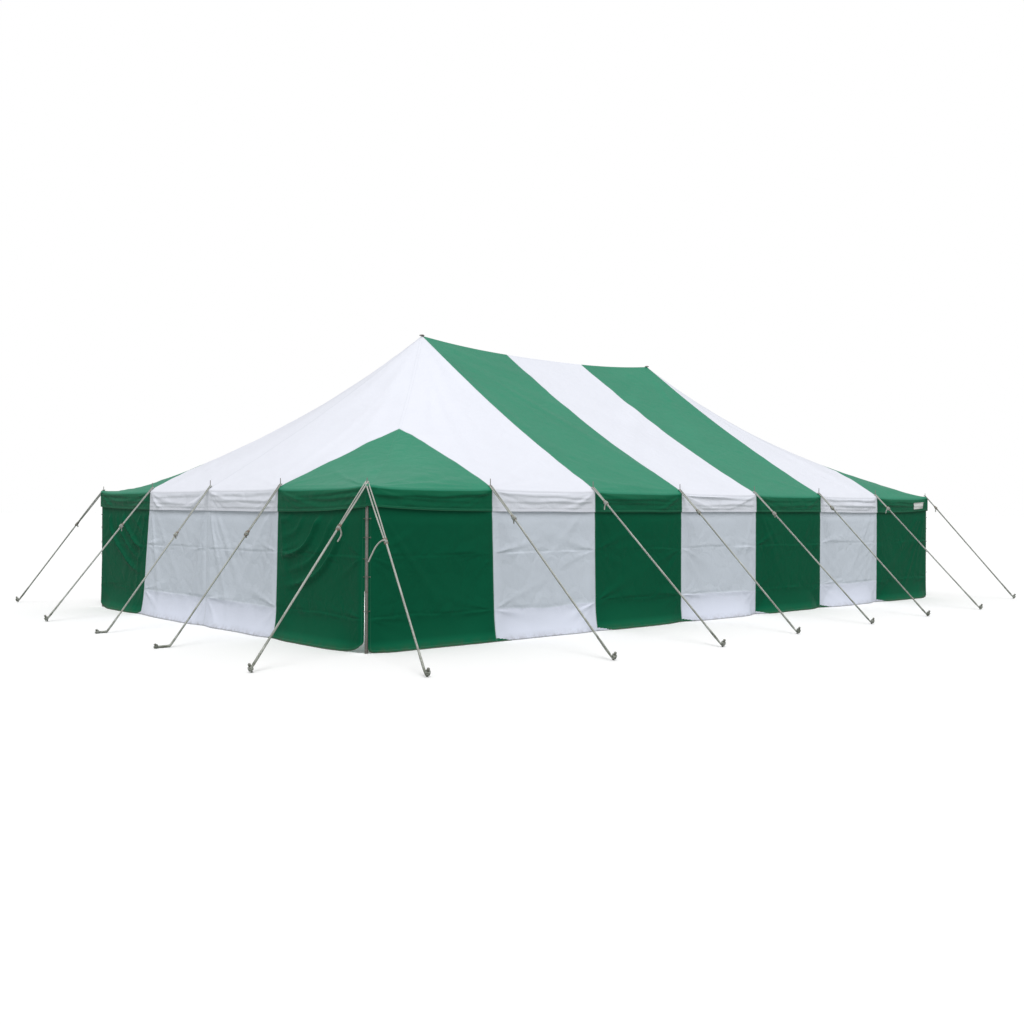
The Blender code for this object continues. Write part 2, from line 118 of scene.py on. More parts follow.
# Grids of the sheets: columns for each bay, and rows
ROOF_COLUMNS = {"long": 32, "end": 34}
ROOF_ROWS = 64
VALANCE_GRID = (60, 26)
# Edges sharper than this, in degrees, stay crisp
SHARP_ANGLE, CLOTH_SHARP_ANGLE, SMALL_SHARP_ANGLE = 50, 55, 40
LABEL_GRID = (25, 11)
CURTAIN_GRID = {"front": (66, 80), "back": (46, 70), "left": (84, 80), "right": (60, 70)}

# Folds that fan out from a point: angles in radians, and sizes in metres
Fan = namedtuple("Fan", "spread count width height reach")
CORNER_FAN = Fan(0.9, 10, 0.08, 0.013, 1.1)
PIN_FAN = Fan(0.3, 4, 0.08, 0.009, 0.9)
PEAK_FANS = ((800, Fan(1.4, 16, 0.11, 0.020, 1.0)), (820, Fan(1.2, 9, 0.055, 0.022, 2.2)))
VALANCE_FAN = {"long": Fan(0.22, 4, 0.11, 0.010, 0.6), "end": Fan(0.36, 4, 0.11, 0.020, 0.6)}
VALANCE_FAN_MIDDLE = {"long": 1.28, "end": 1.08}
END_POLE_FAN = Fan(0.36, 6, 0.07, 0.014, 0.9)
POLE_FAN = {"long": Fan(0.75, 5, 0.09, 0.012, 0.55), "end": Fan(0.75, 5, 0.09, 0.020, 0.8)}
PINCH_FAN = Fan(0.75, 3, 0.14, 0.013, 0.26)
ROLL_HEIGHT = {"long": 0.022, "end": 0.021}
FOOT_SHIFT = {"long": 0.28, "end": 0.14}
HEM_START = (0.78, 0.88)
RIPPLE_SETTINGS = ("ripple_size", "ripple_height", "crinkle_size", "crinkle_height", "seed")

# Each side's place on the cloth's pattern, and the seeds of its folds
PATTERN_PLACE = {"front": 0, "back": 7, "left": 14, "right": 21}
VALANCE_SEED = {"front": 4, "back": 5, "left": 6, "right": 8}
CURTAIN_SEED = {"front": 100, "back": 200, "left": 300, "right": 400}
CORNER_SEED, PIN_SEED, ROPE_SEED = 700, 730, 500

# Poles: tube, pin and cap, and the round sides of each kind of rod
POLE_RADIUS, PIN_RADIUS = 0.024, 0.006
PIN_LENGTH, PLUG_LENGTH, CORNER_PIN_DROP = 0.125, 0.012, 0.03
CENTRE_RADIUS, PLATE_RADIUS, CAP_RADIUS = 0.045, 0.13, 0.050
CAP_HEIGHT, CAP_DOME = 0.044, 0.022
SIDE_POLE_SIDES, CENTRE_POLE_SIDES, PEG_SIDES, TIE_SIDES = 20, 32, 12, 7
# Ring and rim of the eyelets
EYELET_SIZE, WASHER_SIZE = (0.007, 0.0028), (0.0125, 0.004)

# Guy lines: reach to the peg, as in the part, and the share of the rope above its runner
LONG_GUYS = ((2.52, 0.21), (2.58, 0.11), (2.34, 0.17), (2.32, 0.18), (2.26, 0.13), (2.24, 0.13))
END_GUYS = ((1.88, 0.32), (1.82, 0.345), (1.80, 0.305))
CORNER_GUYS = {
    "corner_guys_front_left": (((0.60, 2.10), 0.34), ((1.95, 0.53), 0.27)),
    "corner_guy_back_left": (((0.96, 1.96), 0.30),),
    "corner_guy_front_right": (((1.04, 1.51), 0.12),),
    "corner_guys_back_right": (((0.53, 2.12), 0.16), ((1.95, 0.53), 0.27)),
}
# Pegs set to one side, ropes that lie along the ground, and how far up its peg such a rope is tied
ASIDE = {"guy_front_2": -0.10, "guy_front_3": -0.07, "guy_front_5": 0.09}
LAID = {"guy_left_1": 0.20, "guy_left_2": 0.15, "guy_right_1": 0.20, "guy_right_2": 0.15}
DEEP = 0.4
EYE_HEIGHT = 0.024
EYE_RADIUS = 0.0185
CORNER_EYE_DROP = 0.02
PEG_LEAN = math.radians(24)
PEG_LENGTH = 0.14
PEG_RADIUS = 0.0125
HITCH_UP_PEG = 0.055
# A peg's shank, collar and head: shares of its length, and of its radius
PEG_SHANK = ((0.0, 1.0), (0.10, 1.0), (0.56, 1.0))
PEG_PROFILE = PEG_SHANK + ((0.62, 1.15), (0.67, 1.45), (0.72, 1.5), (0.77, 1.3), (0.81, 0.8), (0.82, 0.3))
RUNNER_SIZE = (0.10, 0.05, 0.03)
RUNNER_ROUNDING = 0.011
RUNNER_HOLE_PLACE, RUNNER_HOLE_RADIUS = 0.033, 0.0085
HOLE_REACH = RUNNER_SIZE[0] / 2 - 0.012
# Drops of the two long tails at the near corner, from the runner down
NEAR_CORNER_TAILS = (
    ((-0.04, 0.035, 0.01), (-0.10, 0.09, -0.07), (-0.17, 0.15, -0.26)),
    ((0.03, -0.02, -0.01), (0.045, -0.03, -0.09), (0.01, 0.0, -0.18)),
)
TIE_LEVELS = (1.78, 1.53, 1.25, 1.01, 0.56)
TIE_INSET = 0.036
TIE_FACE = WALL_FACE + 0.004
TIE_BOW = 0.0375
RING_STEPS, RING_SIDES = 20, 8

# Light and camera, fitted to the photograph
SUN_STRENGTH = 1.75
SUN_WIDTH = math.radians(32)
SUN_FROM = (-0.42, -0.50, 1.0)
INSIDE_LIGHT, INSIDE_HEIGHT = 600.0, 1.8
INSIDE_SIZE = (12.0, 7.0)
SKY_OVERHEAD, SKY_ROUND = 0.50, 0.28
FLOOR_REACH, FLOOR_LEVEL = 400.0, -0.001
FLOOR_CORNERS = ((-1, -1), (1, -1), (1, 1), (-1, 1))
CAMERA_PLACE = (-15.582, -16.392, 1.901)
CAMERA_YAW = math.radians(41.84)
CAMERA_PITCH = math.radians(-0.103)
CAMERA_ROLL = math.radians(0.278)
CAMERA_LENS = 38.0145
CAMERA_SENSOR, CAMERA_FAR = 36.0, 1000.0


class Side:
    """One side of the tent: its half lengths, bays, and directions along it and outwards."""

    def __init__(self, name, along, outward):
        self.name = name
        self.is_long = name in ("front", "back")
        self.kind = "long" if self.is_long else "end"
        self.along = np.array(along, float)
        self.outward = np.array(outward, float)
        self.sign = sum(outward)
        self.bays = LONG_BAYS if self.is_long else END_BAYS
        self.half_edge, self.edge_plane = (EDGE_X, EDGE_Y) if self.is_long else (EDGE_Y, EDGE_X)
        self.half_length, self.pole_plane = (POLE_X, POLE_Y) if self.is_long else (POLE_Y, POLE_X)
        self.bay = 2 * self.half_length / self.bays

    def pole(self, index):
        """Where one of its poles stands, counted from 0 at its lower end."""
        return -self.half_length + 2 * self.half_length * index / self.bays

    def grid(self, along, reach, height):
        """Points by their place along the side, outwards from the tent's middle, and up."""
        points = along[..., None] * self.along + reach[..., None] * self.outward
        points[..., 2] = height
        return points


FRONT = Side("front", (1, 0, 0), (0, -1, 0))
BACK = Side("back", (1, 0, 0), (0, 1, 0))
LEFT = Side("left", (0, 1, 0), (-1, 0, 0))
RIGHT = Side("right", (0, 1, 0), (1, 0, 0))
SIDES = (FRONT, BACK, LEFT, RIGHT)


# Settings that a user would change


def size_setting(name, description, default):
    """A size in metres that a user may change."""
    return FloatProperty(name=name, description=description, default=default, unit="LENGTH")


def colour_setting(name, description, *default):
    """A colour that a user may change."""
    return FloatVectorProperty(name=name, description=description, default=default, subtype="COLOR", size=4)


class ClothSettings(PropertyGroup):
    """Shape of the roof, valance and curtains"""

    thickness: size_setting("Thickness", "Thickness of the coated cloth", 0.0025)
    eave_dip: size_setting("Eave dip", "How far the roof's edge hangs between poles", 0.028)
    ripple_size: size_setting("Ripple size", "Width of the soft ripples", 0.55)
    ripple_height: size_setting("Ripple height", "Height of the soft ripples", 0.004)
    crinkle_size: size_setting("Crinkle size", "Width of the small crinkles", 0.13)
    crinkle_height: size_setting("Crinkle height", "Height of the small crinkles", 0.0012)
    seed: IntProperty(name="Seed", description="Changes where the wrinkles fall", default=7)


class FinishSettings(PropertyGroup):
    """Colours of the tent"""

    # Roof, valance and curtains are one canvas, given lit and shaded copies of its colours: the roof green
    # is painted much lighter, standing in for the sky light and its reflection on the roof, the valance
    # green a little lighter than the curtain green, and the curtain white is painted darker than the roof
    # and valance whites, standing in for the shade on the walls
    wall_green: colour_setting("Wall green", "Green stripes of the curtains", 0.003, 0.097, 0.046, 1.0)
    valance_green: colour_setting("Valance green", "Green stripes of the valance", 0.003, 0.114, 0.053, 1.0)
    roof_green: colour_setting("Roof green", "Green stripes of the roof, faded", 0.018, 0.234, 0.133, 1.0)
    wall_white: colour_setting("Wall white", "White stripes of the curtains", 0.70, 0.757, 0.845, 1.0)
    valance_white: colour_setting("Valance white", "White stripes of the valance", 0.835, 0.86, 0.945, 1.0)
    roof_white: colour_setting("Roof white", "White stripes of the roof", 0.83, 0.85, 0.93, 1.0)
    rope: colour_setting("Rope", "Colour of the clean rope", 0.46, 0.475, 0.44, 1.0)
    # The curtains' foot colours are painted light: lighter copies of the wall colours, standing in for the
    # sky light that the flared foot catches
    foot_green: colour_setting("Foot green", "Green foot of the curtains", 0.005, 0.135, 0.065, 1.0)
    foot_white: colour_setting("Foot white", "White foot of the curtains", 0.80, 0.84, 0.97, 1.0)
    soil: colour_setting("Soil", "Colour of the dirt near the ground", 0.105, 0.085, 0.06, 1.0)


class RopeSettings(PropertyGroup):
    """Sizes of the guy ropes"""

    radius: size_setting("Radius", "Radius of a guy rope", 0.0140)
    sides: IntProperty(name="Sides", description="Faces around a rope", default=8, min=6)
    tie_radius: size_setting("Tie radius", "Radius of the corner ties", 0.004)


# Node helpers


def feed(tree, socket, given):
    """A link into a socket, or its value where a plain value is given."""
    if isinstance(given, bpy.types.NodeSocket):
        tree.links.new(given, socket)
    else:
        socket.default_value = given


def add_node(tree, kind, settings=None, **inputs):
    """A node with its own settings, and with sockets or values for its inputs by name."""
    node = tree.nodes.new(kind)
    for name, value in (settings or {}).items():
        setattr(node, name, value)
    for name, given in inputs.items():
        feed(tree, node.inputs[name.replace("_", " ")], given)
    return node


def add_math(tree, operation, *numbers):
    """One step of arithmetic on sockets or numbers, and its result."""
    node = add_node(tree, "ShaderNodeMath", {"operation": operation})
    for socket, given in zip(node.inputs, numbers):
        feed(tree, socket, given)
    return node.outputs[0]


def times(tree, *numbers):
    """Two numbers multiplied."""
    return add_math(tree, "MULTIPLY", *numbers)


def times_plus(tree, *numbers):
    """Two numbers multiplied, and a third added."""
    return add_math(tree, "MULTIPLY_ADD", *numbers)


def one_less(tree, number):
    """What a number leaves of 1."""
    return add_math(tree, "SUBTRACT", 1.0, number)


def split(tree, place):
    """The X, Y and Z of a place."""
    return add_node(tree, "ShaderNodeSeparateXYZ", Vector=place).outputs


def add_mix(tree, factor, first, second, kind="RGBA"):
    """A colour between two colours, or a number between two numbers."""
    node = add_node(tree, "ShaderNodeMix", {"data_type": kind})
    places = (0, 6, 7) if kind == "RGBA" else (0, 2, 3)
    for place, given in zip(places, (factor, first, second)):
        feed(tree, node.inputs[place], given)
    return node.outputs[2 if kind == "RGBA" else 0]


def add_ramp(tree, value, low, high):
    """A number turned into 0 to 1 between two limits, held outside them."""
    node = add_node(tree, "ShaderNodeMapRange", {"clamp": True}, Value=value, From_Min=low, From_Max=high)
    return node.outputs["Result"]


def add_noise(tree, place, scale, detail, roughness):
    """Noise from 0 to 1, in lumps of about 1 / scale."""
    look = {"Scale": scale, "Detail": detail, "Roughness": roughness}
    return add_node(tree, "ShaderNodeTexNoise", Vector=place, **look).outputs["Fac"]


def object_place(tree):
    """The place of a point on its piece."""
    return add_node(tree, "ShaderNodeTexCoord").outputs["Object"]


def flat_place(tree, layer):
    """The place of a point on its flat cloth or grain."""
    return add_node(tree, "ShaderNodeUVMap", {"uv_map": layer}).outputs["UV"]


def fact(tree, name):
    """A number that a material reads from the mesh."""
    return add_node(tree, "ShaderNodeAttribute", {"attribute_name": name}).outputs["Fac"]


SOCKET_KINDS = {float: "Float", int: "Int", tuple: "Color"}


def new_group(name, kind, inputs, outputs):
    """A node group with named sockets: its tree, and the sockets that its nodes read and feed.

    An input is given by its default, or by its kind of socket where it has none.
    """
    tree = bpy.data.node_groups.new(name, kind)
    for socket_name, default in inputs.items():
        bare = isinstance(default, str)
        socket_kind = "NodeSocket" + (default if bare else SOCKET_KINDS[type(default)])
        socket = tree.interface.new_socket(socket_name, in_out="INPUT", socket_type=socket_kind)
        if not bare:
            socket.default_value = default
    for socket_name, socket_kind in outputs.items():
        tree.interface.new_socket(socket_name, in_out="OUTPUT", socket_type="NodeSocket" + socket_kind)
    return tree, tree.nodes.new("NodeGroupInput").outputs, tree.nodes.new("NodeGroupOutput").inputs


# Shader groups


def weave_group():
    """Crossed threads under the coating, as a height."""
    inputs = {"Vector": "Vector", "Thread": 0.006}
    tree, given, result = new_group("weave", "ShaderNodeTree", inputs, {"Height": "Float"})
    place = split(tree, given["Vector"])
    turns = add_math(tree, "DIVIDE", 2 * math.pi, given["Thread"])
    waves = [add_math(tree, "SINE", times(tree, place[axis], turns)) for axis in (0, 1)]
    feed(tree, result["Height"], times(tree, *waves))
    return tree


def grime_group():
    """Dirt splashed up from the ground, with faint stains higher up."""
    inputs = {
        "Color": (1.0, 1.0, 1.0, 1.0),
        "Soil": (0.1, 0.08, 0.06, 1.0),
        "Reach": 0.12,
        "Amount": 0.6,
        "Stains": 0.06,
    }
    tree, given, result = new_group("grime", "ShaderNodeTree", inputs, {"Color": "Color", "Mask": "Float"})
    place = object_place(tree)
    up = split(tree, place)[2]
    height = add_math(tree, "DIVIDE", up, given["Reach"])
    near_ground = one_less(tree, add_math(tree, "MINIMUM", height, 1.0))
    speckles = add_ramp(tree, add_noise(tree, place, 9.0, 6.0, 0.7), 0.38, 0.72)
    splash = times(tree, add_math(tree, "POWER", near_ground, 1.6), speckles)
    splash = times(tree, splash, given["Amount"])
    stains = add_ramp(tree, add_noise(tree, place, 0.9, 5.0, 0.62), 0.5, 0.8)
    stains = times(tree, stains, given["Stains"])
    mask = add_math(tree, "MINIMUM", add_math(tree, "ADD", splash, stains), 1.0)
    feed(tree, result["Color"], add_mix(tree, mask, given["Color"], given["Soil"]))
    feed(tree, result["Mask"], mask)
    return tree


def stitch_group():
    """Rows of stitches and the raised band of cloth they hold, beside a sewn line."""
    inputs = {"Distance": 1.0, "Along": 0.0, "Band": 0.04}
    outputs = {"Height": "Float", "Mask": "Float"}
    tree, given, result = new_group("stitches", "ShaderNodeTree", inputs, outputs)
    share = add_math(tree, "DIVIDE", given["Distance"], given["Band"])
    band = one_less(tree, add_ramp(tree, share, 0.94, 1.06))
    row = add_math(tree, "ABSOLUTE", add_math(tree, "SUBTRACT", share, 0.8))
    near_row = one_less(tree, add_ramp(tree, row, 0.03, 0.07))
    dashes = add_math(tree, "FRACT", times(tree, given["Along"], 125.0))
    stitch = times(tree, near_row, add_ramp(tree, dashes, 0.3, 0.4))
    feed(tree, result["Height"], add_math(tree, "SUBTRACT", band, times(tree, stitch, 0.6)))
    feed(tree, result["Mask"], stitch)
    return tree


def crumple_group():
    """Flat facets with crisp folds between them, as packed cloth keeps."""
    inputs = {"Vector": "Vector", "Scale": 4.0}
    tree, given, result = new_group("crumple", "ShaderNodeTree", inputs, {"Height": "Float"})
    bent = add_node(tree, "ShaderNodeTexNoise", Scale=2.2, Vector=given["Vector"])
    warp = add_node(tree, "ShaderNodeVectorMath", {"operation": "MULTIPLY_ADD"})
    for socket, value in zip(warp.inputs, (bent.outputs["Color"], (0.22, 0.22, 0.0), given["Vector"])):
        feed(tree, socket, value)
    heights = []
    for step, share in ((1.0, 1.0), (2.3, 0.4)):
        scale = times(tree, given["Scale"], step)
        edges = {"feature": "DISTANCE_TO_EDGE"}
        cells = add_node(tree, "ShaderNodeTexVoronoi", edges, Vector=warp.outputs[0], Scale=scale)
        size = add_math(tree, "DIVIDE", share, scale)
        heights.append(times(tree, cells.outputs["Distance"], size))
    feed(tree, result["Height"], add_math(tree, "ADD", *heights))
    return tree


SHADER_GROUPS = {
    "weave": weave_group,
    "grime": grime_group,
    "stitches": stitch_group,
    "crumple": crumple_group,
}


def add_group(tree, name, **inputs):
    """A shader group in a material, built the first time, with its inputs fed: its outputs."""
    group = bpy.data.node_groups.get(name) or SHADER_GROUPS[name]()
    return add_node(tree, "ShaderNodeGroup", {"node_tree": group}, **inputs).outputs


# Materials


def new_material(name):
    """A material, its tree, and the sockets of its shader."""
    material = bpy.data.materials.new(name)
    material.use_nodes = True
    return material, material.node_tree, material.node_tree.nodes["Principled BSDF"].inputs


def add_surface(tree, shader, colour, roughness, height, strength=1.0, distance=1.0):
    """Feeds a shader its colour, its roughness and the bumps of its surface."""
    bump = add_node(tree, "ShaderNodeBump", Height=height, Strength=strength, Distance=distance)
    feed(tree, shader["Base Color"], colour)
    feed(tree, shader["Roughness"], roughness)
    feed(tree, shader["Normal"], bump.outputs["Normal"])


def toned(colour, share):
    """A darker or lighter tone of a colour, no lighter than white."""
    return tuple(min(1.0, share * part) for part in colour[:3]) + (1.0,)


def cloth_material(name, colour, foot, soil, uneven, seam_tone, stains, sheen):
    """Coated canvas: weave, stitched hems and seams, faint scuffs, dirt near the ground; also painted light
    at the curtains' foot, a painted highlight along green seams and painted shadow under the valance's hem.
    """
    material, tree, shader = new_material(name)
    flat = flat_place(tree, "cloth")
    across, up, _ = split(tree, flat)
    seam = fact(tree, "seam")
    hem_stitch = add_group(tree, "stitches", Distance=fact(tree, "hem"), Along=across)
    seam_stitch = add_group(tree, "stitches", Distance=seam, Along=up, Band=0.022)
    broad = add_noise(tree, flat, 0.8, 4.0, 0.6)
    fine = add_noise(tree, flat, 9.0, 5.0, 0.6)
    scuffs = add_ramp(tree, add_noise(tree, flat, 3.2, 8.0, 0.72), 0.52, 0.75)
    tinted = add_mix(tree, add_ramp(tree, broad, 0.3, 0.7), colour, toned(colour, uneven))
    # Painted light: the curtain's foot is mixed to its brighter foot colour
    tinted = add_mix(tree, fact(tree, "foot"), tinted, foot)
    sewn = add_math(tree, "MAXIMUM", hem_stitch["Mask"], seam_stitch["Mask"])
    # Along each seam a band is mixed towards the seam tone: on green stripes this lighter tone is a painted
    # highlight along the raised seam, on white stripes a darker seam; the stitches take the same tone as
    # thread
    welt = one_less(tree, add_ramp(tree, seam, 0.006, 0.016))
    for mask, amount in ((sewn, 0.5), (welt, 0.35)):
        tinted = add_mix(tree, times(tree, mask, amount), tinted, seam_tone)
    grime = add_group(tree, "grime", Color=tinted, Soil=soil, Stains=stains)
    # A dark line along the bottom edge: on the valance it is painted shadow under the hem; on the curtains
    # it darkens the bottom centimetre
    rim = times(tree, fact(tree, "rim"), 0.7)
    rimmed = add_mix(tree, rim, grime["Color"], (0.13, 0.115, 0.10, 1.0))
    gloss = times_plus(tree, scuffs, 0.10, 0.36)
    gloss = times_plus(tree, fine, 0.12, gloss)
    gloss = times_plus(tree, grime["Mask"], 0.3, gloss)
    height = times(tree, fine, 0.0016)
    for part, amount in (
        (add_group(tree, "weave", Vector=flat)["Height"], 0.00008),
        (add_group(tree, "crumple", Vector=flat, Scale=3.6)["Height"], fact(tree, "crumple")),
        (hem_stitch["Height"], 0.0012),
        (seam_stitch["Height"], 0.0012),
    ):
        height = times_plus(tree, part, amount, height)
    add_surface(tree, shader, rimmed, gloss, height)
    shader["Specular IOR Level"].default_value = sheen
    return material


def rope_material(name, colour, soil, strand, thickness):
    """Laid rope: three strands wound round, fibres between them, painted shade in the grooves between
    strands, dirty towards the peg.
    """
    material, tree, shader = new_material(name)
    winding = add_math(tree, "DIVIDE", fact(tree, "along"), strand)
    winding = times_plus(tree, fact(tree, "turn"), 3.0, winding)
    strands = add_math(tree, "SINE", times(tree, winding, 2 * math.pi))
    lay = times_plus(tree, strands, 0.5, 0.5)
    place = object_place(tree)
    fibres = add_noise(tree, place, 160.0, 4.0, 0.7)
    worn = add_noise(tree, place, 2.5, 3.0, 0.6)
    # Painted shade: the grooves between the strands are darkened, where shade falls between them
    tinted = add_mix(tree, add_ramp(tree, lay, 0.0, 0.6), toned(colour, 0.55), colour)
    tinted = add_mix(tree, add_ramp(tree, worn, 0.35, 0.75), tinted, toned(colour, 1.25))
    grime = add_group(tree, "grime", Color=tinted, Soil=soil, Reach=1.1, Amount=1.6, Stains=0.2)
    height = times(tree, lay, 0.25 * thickness)
    height = times_plus(tree, fibres, 0.08 * thickness, height)
    add_surface(tree, shader, grime["Color"], 0.85, height)
    return material


def steel_material(name, bright, dull, roughness, metal):
    """Steel tube or rod: spangled zinc, scratches along it and a little rust."""
    material, tree, shader = new_material(name)
    place = object_place(tree)
    spangle = add_node(tree, "ShaderNodeTexVoronoi", Vector=place, Scale=70.0)
    stretched = add_node(tree, "ShaderNodeMapping", Vector=place, Scale=(60.0, 60.0, 4.0))
    scratches = add_noise(tree, stretched.outputs["Vector"], 3.0, 4.0, 0.6)
    rust = add_ramp(tree, add_noise(tree, place, 14.0, 5.0, 0.65), 0.66, 0.78)
    tinted = add_mix(tree, spangle.outputs["Distance"], dull, bright)
    tinted = add_mix(tree, rust, tinted, (0.13, 0.055, 0.025, 1.0))
    grime = add_group(tree, "grime", Color=tinted, Soil=(0.09, 0.07, 0.05, 1.0), Reach=0.25, Amount=0.6)
    unrusted = one_less(tree, rust)
    feed(tree, shader["Metallic"], times(tree, unrusted, metal))
    gloss = times_plus(tree, scratches, 0.25, roughness)
    height = times_plus(tree, rust, 0.0004, times(tree, scratches, 0.0002))
    add_surface(tree, shader, grime["Color"], gloss, height, strength=0.6)
    return material


def wood_material(name):
    """Weathered hardwood of the runners, grain along each one."""
    material, tree, shader = new_material(name)
    grain = flat_place(tree, "grain")
    stretched = add_node(tree, "ShaderNodeMapping", Vector=grain, Scale=(12.0, 180.0, 1.0))
    rings = add_noise(tree, stretched.outputs["Vector"], 1.0, 5.0, 0.6)
    each = add_noise(tree, object_place(tree), 0.7, 1.0, 0.5)
    tinted = add_mix(tree, rings, (0.10, 0.06, 0.045, 1.0), (0.34, 0.24, 0.18, 1.0))
    tinted = add_mix(tree, add_ramp(tree, each, 0.3, 0.7), tinted, (0.30, 0.27, 0.24, 1.0))
    add_surface(tree, shader, tinted, 0.62, rings, distance=0.0006)
    return material


def label_material(name):
    """A plain woven patch, sewn on and left blank."""
    material, tree, shader = new_material(name)
    flat = flat_place(tree, "cloth")
    weave = add_group(tree, "weave", Vector=flat, Thread=0.003)["Height"]
    worn = add_noise(tree, flat, 14.0, 5.0, 0.65)
    tinted = add_mix(tree, worn, (0.62, 0.64, 0.62, 1.0), (0.78, 0.80, 0.78, 1.0))
    height = times_plus(tree, weave, 0.0001, times(tree, worn, 0.004))
    add_surface(tree, shader, tinted, 0.6, height)
    return material


# Seam tone, unevenness and stains of both kinds of stripe, and the sheen of each part of the cloth
# On green stripes the seam tone, lighter than the cloth, also serves as a painted highlight along each seam
STRIPES = {
    "green": ((0.14, 0.32, 0.23, 1.0), 1.1, 0.02),
    "white": ((0.58, 0.62, 0.68, 1.0), 0.97, 0.03),
}
SHEEN = {"roof_green": 0.28, "roof_white": 0.28, "wall_green": 0.05}
OTHER_SHEEN = 0.12
ROPE_SOIL = (0.17, 0.185, 0.145, 1.0)


def finish(name):
    """A material of the tent by name, made the first time it is asked for."""
    found = bpy.data.materials.get(name)
    if found:
        return found
    colours = bpy.context.scene.marquee_finish
    soil = tuple(colours.soil)
    stripe = name.split("_")[-1]
    if stripe in STRIPES:
        colour, foot = tuple(getattr(colours, name)), tuple(getattr(colours, f"foot_{stripe}"))
        seam_tone, uneven, stains = STRIPES[stripe]
        sheen = SHEEN.get(name, OTHER_SHEEN)
        return cloth_material(name, colour, foot, soil, uneven, seam_tone, stains, sheen)
    if name == "laid_rope":
        radius = bpy.context.scene.marquee_rope.radius
        return rope_material(name, tuple(colours.rope), ROPE_SOIL, 0.045, radius)
    if name == "tie_cord":
        return rope_material(name, (0.16, 0.17, 0.145, 1.0), soil, 0.014, 0.004)
    if name == "galvanised_steel":
        return steel_material(name, (0.34, 0.32, 0.30, 1.0), (0.22, 0.21, 0.195, 1.0), 0.45, 0.55)
    if name == "peg_steel":
        return steel_material(name, (0.30, 0.31, 0.27, 1.0), (0.22, 0.225, 0.19, 1.0), 0.6, 0.25)
    return {"runner_wood": wood_material, "label_patch": label_material}[name](name)


# Geometry node trees


def stored(tree, name, kind="FLOAT"):
    """A number or direction that a tree reads from the mesh."""
    node = add_node(tree, "GeometryNodeInputNamedAttribute", {"data_type": kind}, Name=name)
    return node.outputs["Attribute"]


def finish_tree(tree, given, result, geometry):
    """The end of a tree: real geometry, smooth, in its material."""
    for kind in ("GeometryNodeRealizeInstances", "GeometryNodeSetShadeSmooth"):
        geometry = add_node(tree, kind, Geometry=geometry).outputs["Geometry"]
    painted = add_node(tree, "GeometryNodeSetMaterial", Geometry=geometry, Material=given["Material"])
    feed(tree, result["Geometry"], painted.outputs["Geometry"])
    return tree


def cloth_tree():
    """Adds loose ripples and crinkles to a sheet and gives each stripe its canvas."""
    inputs = {
        "Geometry": "Geometry",
        "Ripple Size": 0.5,
        "Ripple Height": 0.006,
        "Crinkle Size": 0.12,
        "Crinkle Height": 0.001,
        "Seed": 7,
        "Green": "Material",
        "White": "Material",
    }
    tree, given, result = new_group("loose_cloth", "GeometryNodeTree", inputs, {"Geometry": "Geometry"})
    flat = stored(tree, "flat", "FLOAT_VECTOR")
    heights = []
    for kind in ("Ripple", "Crinkle"):
        lumps = add_node(tree, "ShaderNodeTexNoise", {"noise_dimensions": "4D"}, Detail=2.0, Roughness=0.5)
        feed(tree, lumps.inputs["Vector"], flat)
        feed(tree, lumps.inputs["W"], given["Seed"])
        feed(tree, lumps.inputs["Scale"], add_math(tree, "DIVIDE", 1.0, given[f"{kind} Size"]))
        centred = times(tree, add_math(tree, "SUBTRACT", lumps.outputs["Fac"], 0.5), 2.0)
        heights.append(times(tree, centred, given[f"{kind} Height"]))
    amount = times(tree, add_math(tree, "ADD", *heights), stored(tree, "slack"))
    outward = stored(tree, "outward", "FLOAT_VECTOR")
    push = add_node(tree, "ShaderNodeVectorMath", {"operation": "SCALE"}, Vector=outward, Scale=amount)
    stripe = stored(tree, "white_stripe", "BOOLEAN")
    sheet = given["Geometry"]
    for kind, fed in (
        ("GeometryNodeSetPosition", {"Offset": push.outputs["Vector"]}),
        ("GeometryNodeRealizeInstances", {}),
        ("GeometryNodeSetMaterial", {"Material": given["Green"]}),
        ("GeometryNodeSetMaterial", {"Material": given["White"], "Selection": stripe}),
    ):
        sheet = add_node(tree, kind, Geometry=sheet, **fed).outputs["Geometry"]
    feed(tree, result["Geometry"], sheet)
    return tree


def sweep_tree():
    """Sweeps a round section along every line of a mesh, as thick as its points say."""
    inputs = {"Geometry": "Geometry", "Sides": 8, "Material": "Material"}
    tree, given, result = new_group("swept_round", "GeometryNodeTree", inputs, {"Geometry": "Geometry"})
    curve = add_node(tree, "GeometryNodeMeshToCurve", Mesh=given["Geometry"])
    section = add_node(tree, "GeometryNodeCurvePrimitiveCircle", Radius=1.0, Resolution=given["Sides"])
    place = add_node(tree, "GeometryNodeSplineParameter").outputs
    solid = add_node(tree, "GeometryNodeCurveToMesh", Fill_Caps=True, Scale=stored(tree, "thickness"))
    for name, line, value, end in (
        ("along", curve, place["Length"], "Curve"),
        ("turn", section, place["Factor"], "Profile Curve"),
    ):
        kept = add_node(tree, "GeometryNodeStoreNamedAttribute", Name=name, Value=value)
        feed(tree, kept.inputs["Geometry"], line.outputs["Curve"])
        feed(tree, solid.inputs[end], kept.outputs["Geometry"])
    return finish_tree(tree, given, result, solid.outputs["Mesh"])


